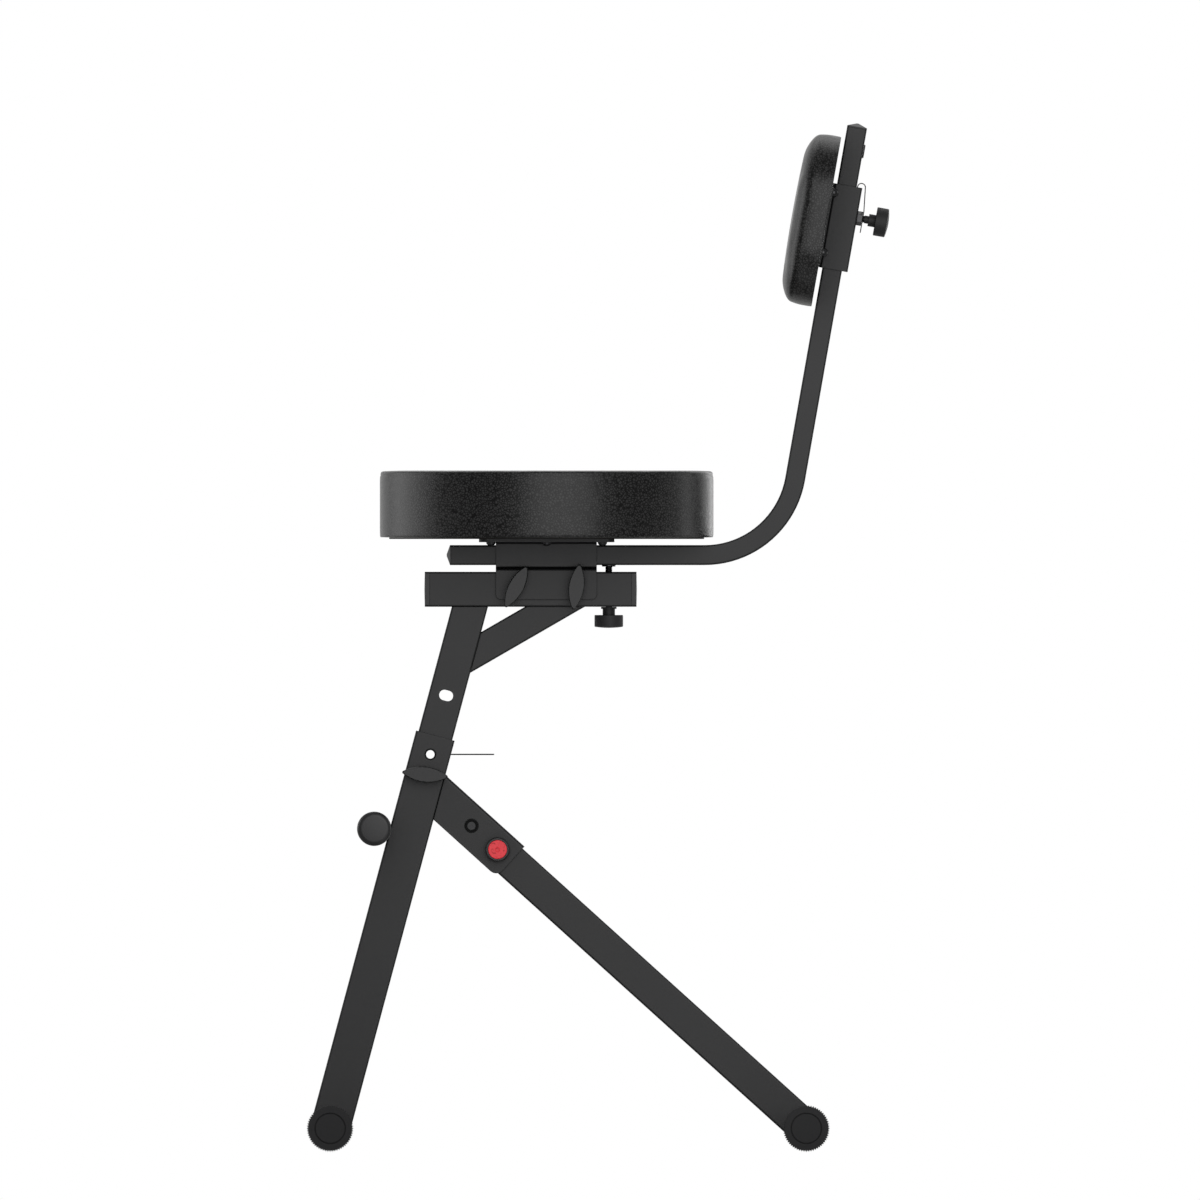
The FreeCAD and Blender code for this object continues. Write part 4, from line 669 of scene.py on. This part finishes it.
# %% Close the backrest cover
bpy.ops.mesh.delete(type="ONLY_FACE")
bpy.ops.mesh.select_mode(type="EDGE")
bpy.ops.mesh.select_all(action="DESELECT")
bpy.ops.mesh.select_non_manifold()
bpy.ops.mesh.fill_grid(span=grid_span, offset=grid_offset)
pick(back_cover, "FACE", lambda face: abs(face.center.z) < 1e-5 and abs(face.normal.z) > 0.9)
bpy.ops.mesh.inset(thickness=hem)
bpy.ops.mesh.inset(thickness=rim_width - board_play - tight - hem)
bpy.ops.mesh.extrude_region_move(TRANSFORM_OT_translate={"value": (0, 0, board_thick + board_play)})
bpy.ops.mesh.select_all(action="SELECT")
bpy.ops.mesh.normals_make_consistent(inside=False)
bpy.ops.object.mode_set(mode="OBJECT")

front = pad_wall + pad_rise
for vertex in back_cover.data.vertices:
    if vertex.co.z > front - 0.1 * mm:
        across = 1 - (2 * vertex.co.y / (pad_width - 2 * pad_round)) ** 2
        upward = 1 - (2 * vertex.co.x / (pad_height - 2 * pad_round)) ** 2
        vertex.co.z += pad_crown * max(across, 0) * max(upward, 0)


def back_held(point):
    """The rim that lies on the board, and the recess round it."""
    deep = abs(point.x) < pad_height / 2 - 9 * mm and abs(point.y) < pad_width / 2 - 9 * mm
    return point.z < 0.5 * mm or deep and point.z < board_thick + mm


moved = swell(back_cover, back_held, pad_cap)
faces = smoothed(back_cover, 2)
only(back_cover)
lying = Matrix((bar_up, (0, 1, 0), -bar_rear)).transposed()
back_cover.rotation_euler = lying.to_euler()
back_cover.location = pad_back
bpy.ops.object.transform_apply(location=True, rotation=True, scale=True)
own_finish(back_cover, vinyl, "backrest", "black_vinyl", "backrest_cushion")
corners = [back_cover.matrix_world @ Vector(corner) for corner in back_cover.bound_box]
print("backrest cover from", [round(min(c[i] for c in corners) / mm, 2) for i in range(3)],
      "to", [round(max(c[i] for c in corners) / mm, 2) for i in range(3)])
print("backrest cover:", faces, "faces, swelled up to", round(moved / mm, 2), "mm before it was held")

# %% [markdown]
# ## Threaded studs
#
# The knobs and wings turn M8 studs, which CAD draws as plain rods at the mean diameter of the thread. The
# real thread shows beside the back knob and in the gap over the beam. One pitch of the outline is wound
# round the axis by a Screw modifier, and the ends are cut square. The crests stay inside the nuts' bores.

# %% Threaded studs
pitch = 1.25 * mm
crest, root = 3.66 * mm, 3.1 * mm
rod_radius = 3.6 * mm
thread_steps, spare_turns = 20, 2


def threaded(name, start, end, body, node):
    """A stud with a wound thread from start to end, wound too long by the spare turns and cut to length."""
    run = Vector(end) - Vector(start)
    bpy.ops.object.select_all(action="DESELECT")
    bpy.ops.mesh.primitive_plane_add(size=0.01, location=(0, 0, 0))
    stud = bpy.context.object
    stud.name = name
    bpy.ops.object.mode_set(mode="EDIT")
    bpy.ops.mesh.select_mode(type="VERT")
    bpy.ops.mesh.select_all(action="SELECT")
    bpy.ops.mesh.merge(type="CENTER")
    bpy.ops.transform.translate(value=(root, 0, -spare_turns * pitch))
    for out, up in ((0, 0.15), (crest - root, 0.3), (0, 0.15), (root - crest, 0.4)):
        bpy.ops.mesh.extrude_region_move(TRANSFORM_OT_translate={"value": (out, 0, up * pitch)})
    bpy.ops.object.mode_set(mode="OBJECT")
    bpy.ops.object.modifier_add(type="SCREW")
    wind = stud.modifiers[-1]
    wind.axis, wind.screw_offset = "Z", pitch
    wind.iterations = int(run.length / pitch) + 2 * spare_turns
    wind.steps = wind.render_steps = thread_steps
    wind.use_merge_vertices = True
    wind.merge_threshold = 1e-6
    bpy.ops.object.modifier_apply(modifier=wind.name)
    bpy.ops.object.mode_set(mode="EDIT")
    bpy.ops.mesh.select_all(action="SELECT")
    bpy.ops.mesh.remove_doubles(threshold=1e-6)
    bpy.ops.mesh.normals_make_consistent(inside=False)
    for height, way in ((0.0, -1), (run.length, 1)):
        bpy.ops.mesh.select_all(action="SELECT")
        bpy.ops.mesh.bisect(plane_co=(0, 0, height), plane_no=(0, 0, way), use_fill=True, clear_outer=True)
    bpy.ops.object.mode_set(mode="OBJECT")
    stand(stud, start, run)
    bpy.ops.object.shade_smooth_by_angle(angle=math.radians(25))
    return own_finish(stud, black_zinc, body, "black_zinc", node)


low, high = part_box("bar_stud")
middle = (low + high) / 2
studs = [threaded("bar_stud_thread", (middle.x, 0, low.z), (middle.x, 0, high.z), "bar_knob", "bar_stud")]
for name, body in (("height_stud", "height_knob"), ("seat_stud_front", "seat_knob_front"),
                   ("seat_stud_rear", "seat_knob_rear")):
    low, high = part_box(name)
    middle = (low + high) / 2
    start, end = (middle.x, high.y, middle.z), (middle.x, low.y, middle.z)
    studs.append(threaded(name + "_thread", start, end, body, name))
low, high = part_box("backrest_stud")
middle = (low + high) / 2
half_run = ((high.x - low.x) / 2 - rod_radius * math.sin(lean)) / math.cos(lean)
studs.append(threaded("backrest_stud_thread", middle - bar_rear * half_run, middle + bar_rear * half_run,
                      "backrest_knob", "backrest_stud"))
print("threaded studs:", [(stud.name, len(stud.data.polygons)) for stud in studs])

# %% [markdown]
# ## Pad screws
#
# Dome-headed screws hold the plates to the pads' boards. Each has a cross recess, cut here with a tapered
# cross and a Boolean. The screw is modelled once for each head height, and copied to its places, which are
# the heads of the CAD screws.

# %% Pad screws
screw_steps, dome_rings = 32, 6
head_radius, shank_radius = 4.8 * mm, 2.5 * mm
recess_width, recess_slot, recess_deep = 4.6 * mm, 1.0 * mm, 1.6 * mm
recess_taper = (0.45, 0.7, 1)
plate_thick, back_pitch = 1.5 * mm, 30 * mm


def cross_screw(name, head, shank):
    """Dome-headed screw on the Z axis, head upwards, its shank below z = 0."""
    arc = [math.radians(90 * k / dome_rings) for k in range(dome_rings + 1)]
    outline = [(0.0, -shank), (shank_radius, -shank + shank_radius), (shank_radius, 0.0)]
    outline += [(head_radius * math.cos(a), head * math.sin(a)) for a in arc[:-1]] + [(0.0, head)]
    screw = spun(name, outline, screw_steps)
    bpy.ops.object.select_all(action="DESELECT")
    bpy.ops.mesh.primitive_cube_add(size=1, location=(0, 0, head))
    cutter = bpy.context.object
    cutter.scale = (recess_width, recess_slot, 2 * recess_deep)
    bpy.ops.object.transform_apply(location=True, rotation=True, scale=True)
    bpy.ops.object.mode_set(mode="EDIT")
    pick(cutter, "FACE", lambda face: face.normal.z < -0.9)
    bpy.ops.transform.resize(value=recess_taper, center_override=(0, 0, head - recess_deep))
    bpy.ops.mesh.select_all(action="SELECT")
    bpy.ops.mesh.duplicate()
    bpy.ops.transform.rotate(value=math.radians(90), orient_axis="Z", center_override=(0, 0, head))
    bpy.ops.object.mode_set(mode="OBJECT")
    only(screw)
    bpy.ops.object.modifier_add(type="BOOLEAN")
    cut = screw.modifiers[-1]
    cut.operation, cut.object, cut.solver, cut.use_self = "DIFFERENCE", cutter, "EXACT", True
    bpy.ops.object.modifier_apply(modifier=cut.name)
    bpy.data.objects.remove(cutter)
    only(screw)
    bpy.ops.object.shade_smooth_by_angle(angle=math.radians(35))
    return screw


def copies(model, name, places, axis, turns):
    """Copy a screw to each place, with its head along the axis, and join the copies."""
    made = []
    for place, turn in zip(places, turns):
        only(model)
        bpy.ops.object.duplicate(linked=False)
        one = bpy.context.object
        one.rotation_euler = (Vector(axis).to_track_quat("Z", "Y").to_matrix()
                              @ Matrix.Rotation(math.radians(turn), 3, "Z")).to_euler()
        one.location = place
        bpy.ops.object.transform_apply(location=True, rotation=True, scale=True)
        made.append(one)
    only(made[0])
    for one in made:
        one.select_set(True)
    bpy.ops.object.join()
    made[0].name = name
    bpy.data.objects.remove(model)
    return made[0]


low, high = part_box("seat_screws")
plate_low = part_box("seat_plate")[0].z
middle = (low + high) / 2
pitch_x, pitch_y = (high.x - low.x) / 2 - head_radius, (high.y - low.y) / 2 - head_radius
places = [(middle.x + i * pitch_x, j * pitch_y, plate_low) for i in (-1, 0, 1) for j in (-1, 1)]
seat_screw = cross_screw("seat_screw", 3.9 * mm, 13.0 * mm)
seat_heads = copies(seat_screw, "seat_cross_screws", places, (0, 0, -1), (10, 55, 31, 78, 5, 64))
own_finish(seat_heads, black_zinc, "seat", "black_zinc", "seat_screws")

plate_rear = pad_back + bar_rear * plate_thick
heights = (-30.8 * mm, 30.0 * mm)
places = [plate_rear + bar_up * h + Vector((0, w, 0)) for h in heights for w in (-back_pitch, back_pitch)]
back_screw = cross_screw("back_screw", 5.6 * mm, 8.5 * mm)
back_heads = copies(back_screw, "backrest_cross_screws", places, bar_rear, (20, 71, 44, 8))
own_finish(back_heads, black_zinc, "backrest", "black_zinc", "backrest_screws")
print("screws:", len(seat_heads.data.polygons), "and", len(back_heads.data.polygons), "faces")

# %% [markdown]
# ## Toothed feet
#
# The feet are rubber caps with sixty saw teeth, so that the stool grips at any turn of its cross tubes. The
# teeth of the CAD caps are less than half as deep. Here every second point of a circle is drawn in, which
# makes the saw, and the cap is extruded from it: the rim, the round end with its moulded ring, and the bore
# that the cross tube sits in.

# %% Toothed feet
teeth = 60
tooth_depth, foot_chamfer, foot_lip, foot_end = 1.7 * mm, 1.5 * mm, 0.8 * mm, 5.0 * mm
bore_radius = 19.1 * mm
ring_radius, ring_width, ring_depth, ring_slope = 15.7 * mm, 1.2 * mm, 1.4 * mm, 0.1 * mm


def toothed_foot(name, radius, length):
    """Cap on the Z axis, its open end at z = 0 and its closed end at its length."""
    gap = radius - tooth_depth
    bpy.ops.object.select_all(action="DESELECT")
    bpy.ops.mesh.primitive_circle_add(vertices=2 * teeth, radius=radius, fill_type="NGON",
                                      location=(0, 0, foot_lip))
    foot = bpy.context.object
    foot.name = name
    bpy.ops.object.transform_apply(location=True, rotation=True, scale=True)
    bpy.ops.object.mode_set(mode="EDIT")
    pick(foot, "VERT", lambda point: point.index % 2 == 1)
    bpy.ops.transform.resize(value=(gap / radius, gap / radius, 1), center_override=(0, 0, foot_lip))

    def face_at(height):
        pick(foot, "FACE", lambda face: abs(face.center.z - height) < 1e-6 and abs(face.normal.z) > 0.99)

    def raised(height):
        bpy.ops.mesh.extrude_region_move(TRANSFORM_OT_translate={"value": (0, 0, height)})

    def rounded(height, wanted):
        """Bring the saw-toothed ring at a height to one radius."""
        for old in (radius, gap):
            pick(foot, "VERT", lambda point: abs(point.co.z - height) < 1e-6
                 and abs(point.co.xy.length - old) < 1e-6)
            bpy.ops.transform.resize(value=(wanted / old, wanted / old, 1), center_override=(0, 0, height))
        face_at(height)

    face_at(foot_lip)
    raised(length - foot_chamfer - foot_lip)
    raised(foot_chamfer)
    rounded(length, gap)
    bpy.ops.mesh.inset(thickness=gap - ring_radius)
    bpy.ops.mesh.inset(thickness=ring_slope, depth=-ring_depth)
    bpy.ops.mesh.inset(thickness=ring_width - 2 * ring_slope)
    bpy.ops.mesh.inset(thickness=ring_slope, depth=ring_depth)
    face_at(foot_lip)
    raised(-foot_lip)
    rounded(0.0, gap - foot_lip)
    bpy.ops.mesh.inset(thickness=gap - foot_lip - bore_radius)
    raised(length - foot_end)
    bpy.ops.mesh.select_all(action="SELECT")
    bpy.ops.mesh.normals_make_consistent(inside=False)
    bpy.ops.object.mode_set(mode="OBJECT")
    bpy.ops.object.shade_smooth_by_angle(angle=math.radians(30))
    return foot


low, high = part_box("front_foot_left")
foot_model = toothed_foot("foot_model", (high.x - low.x) / 2, high.y - low.y)
for name, body in (("front_foot_left", "base"), ("front_foot_right", "base"),
                   ("rear_foot_left", "rear_leg"), ("rear_foot_right", "rear_leg")):
    low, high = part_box(name)
    middle = (low + high) / 2
    side = 1 if middle.y > 0 else -1
    only(foot_model)
    bpy.ops.object.duplicate(linked=False)
    foot = bpy.context.object
    foot.name = name + "_cap"
    stand(foot, (middle.x, low.y if side > 0 else high.y, middle.z), (0, side, 0))
    own_finish(foot, rubber, body, "rubber", name)
print("feet:", teeth, "teeth,", len(foot_model.data.polygons), "faces each")
bpy.data.objects.remove(foot_model)

# %% [markdown]
# ## Footrest sleeves
#
# A soft vinyl sleeve is dipped over each end of the footrest, so its closed end is rounded generously, more
# than the CAD one, and draws a dark ring round the lit face. The wall is an outline from the inside of the
# closed end, out along the bore, back over the skin and round the end, spun round the bar.

# %% Footrest sleeves
sleeve_steps = 72
sleeve_end, sleeve_round, sleeve_lip, sleeve_fit = 4.0 * mm, 5.0 * mm, 0.6 * mm, 0.1 * mm
low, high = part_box("footrest_tube")
sleeve_bore = (high.z - low.z) / 2 + sleeve_fit
for name in ("footrest_grip_left", "footrest_grip_right"):
    low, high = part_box(name)
    middle = (low + high) / 2
    side = 1 if middle.y > 0 else -1
    radius, length = (high.x - low.x) / 2, high.y - low.y
    outline = [(0.0, length - sleeve_end), (sleeve_bore, length - sleeve_end), (sleeve_bore, 0.0),
               (radius - sleeve_lip, 0.0), (radius, sleeve_lip)]
    for turn in (0, 15, 30, 45, 60, 75, 90):
        angle = math.radians(turn)
        outline.append((radius - sleeve_round * (1 - math.cos(angle)),
                        length - sleeve_round * (1 - math.sin(angle))))
    sleeve = spun(name + "_sleeve", outline + [(0.0, length)], sleeve_steps)
    stand(sleeve, (middle.x, low.y if side > 0 else high.y, middle.z), (0, side, 0))
    bpy.ops.object.shade_smooth_by_angle(angle=math.radians(35))
    own_finish(sleeve, grip, "base", "rubber", name)
print("footrest sleeves:", round(length / mm, 1), "mm long, rounded by", round(sleeve_round / mm, 1), "mm")

# %% [markdown]
# ## Round knobs
#
# Two round nylon knobs clamp the back and its bar. The heads of the CAD knobs are a little thin, so they
# are made again at the same width, with a taller head on a shorter neck: half an outline, spun round the
# axis. The back knob has a slim collar on its stud and a fuller crown.

# %% Round knobs
knob_radius, neck_radius = 14.3 * mm, 6.2 * mm
knob_head, knob_round, knob_break = 11.9 * mm, 1.0 * mm, 0.5 * mm
knob_steps = 72


def round_knob(name, foot_radius, foot_height, rim, crown, origin, axis, node):
    """Knob standing on its foot at the origin, its rim and its crowned end along the axis."""
    neck = rim - knob_head
    face = knob_radius - knob_round
    outline = [(0.0, 0.0), (foot_radius, 0.0), (foot_radius, foot_height), (neck_radius, foot_height),
               (neck_radius, neck), (knob_radius - knob_break, neck), (knob_radius, neck + knob_break)]
    for turn in (0, 22.5, 45, 67.5):
        angle = math.radians(turn)
        outline.append((face + knob_round * math.cos(angle), rim - knob_round * (1 - math.sin(angle))))
    outline += [(face * k, rim + crown * (1 - k ** 2)) for k in (1.0, 0.8, 0.6, 0.4, 0.2, 0.0)]
    knob = spun(name, outline, knob_steps)
    stand(knob, origin, axis)
    bpy.ops.object.shade_smooth_by_angle(angle=math.radians(35))
    return own_finish(knob, knob_nylon, node, "black_nylon", node)


low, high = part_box("bar_knob")
middle = (low + high) / 2
flange_radius, flange_height, bar_crown = 7.75 * mm, 2.0 * mm, 1.0 * mm
knobs = [round_knob("bar_knob_moulding", flange_radius, flange_height, high.z - low.z - bar_crown, bar_crown,
                    (middle.x, 0, high.z), (0, 0, -1), "bar_knob")]

low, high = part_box("backrest_stud")
collar_radius, collar_height, collar_reach = 3.9 * mm, 4.2 * mm, 5.0 * mm
back_rim, back_crown = 17.9 * mm + collar_reach, 1.6 * mm
knob_foot = (low + high) / 2 + bar_rear * (half_run - collar_reach)
knobs.append(round_knob("backrest_knob_moulding", collar_radius, collar_height, back_rim, back_crown,
                        knob_foot, bar_rear, "backrest_knob"))
print("knobs:", [(knob.name, len(knob.data.polygons)) for knob in knobs])

# %% [markdown]
# ## Button spring
#
# A short rubber tube pushes the red button back out. It is hidden in the housing, and it shortens as the
# button goes in, so it is made as a low bellows.

# %% Button spring
low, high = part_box("button_spring")
middle = (low + high) / 2
length = high.y - low.y
fold_depth, housing_play = 0.6 * mm, 0.1 * mm
fold_steps, bellows_steps = 8, 40
inner, outer = 4.45 * mm, (high.x - low.x) / 2 - housing_play
folds = [(inner, 0.0)]
folds += [(outer - (fold_depth if k % 2 else 0.0), length * k / fold_steps) for k in range(fold_steps + 1)]
folds += [(inner, length), (inner, 0.0)]
bellows = spun("button_bellows", folds, bellows_steps)
stand(bellows, (middle.x, high.y, middle.z), (0, -1, 0))
bpy.ops.object.shade_smooth_by_angle(angle=math.radians(40))
own_finish(bellows, rubber, "base", "rubber", "button_spring")
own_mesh(bellows)
print("button spring:", round(length / mm, 2), "mm long, flattens by 4 mm")
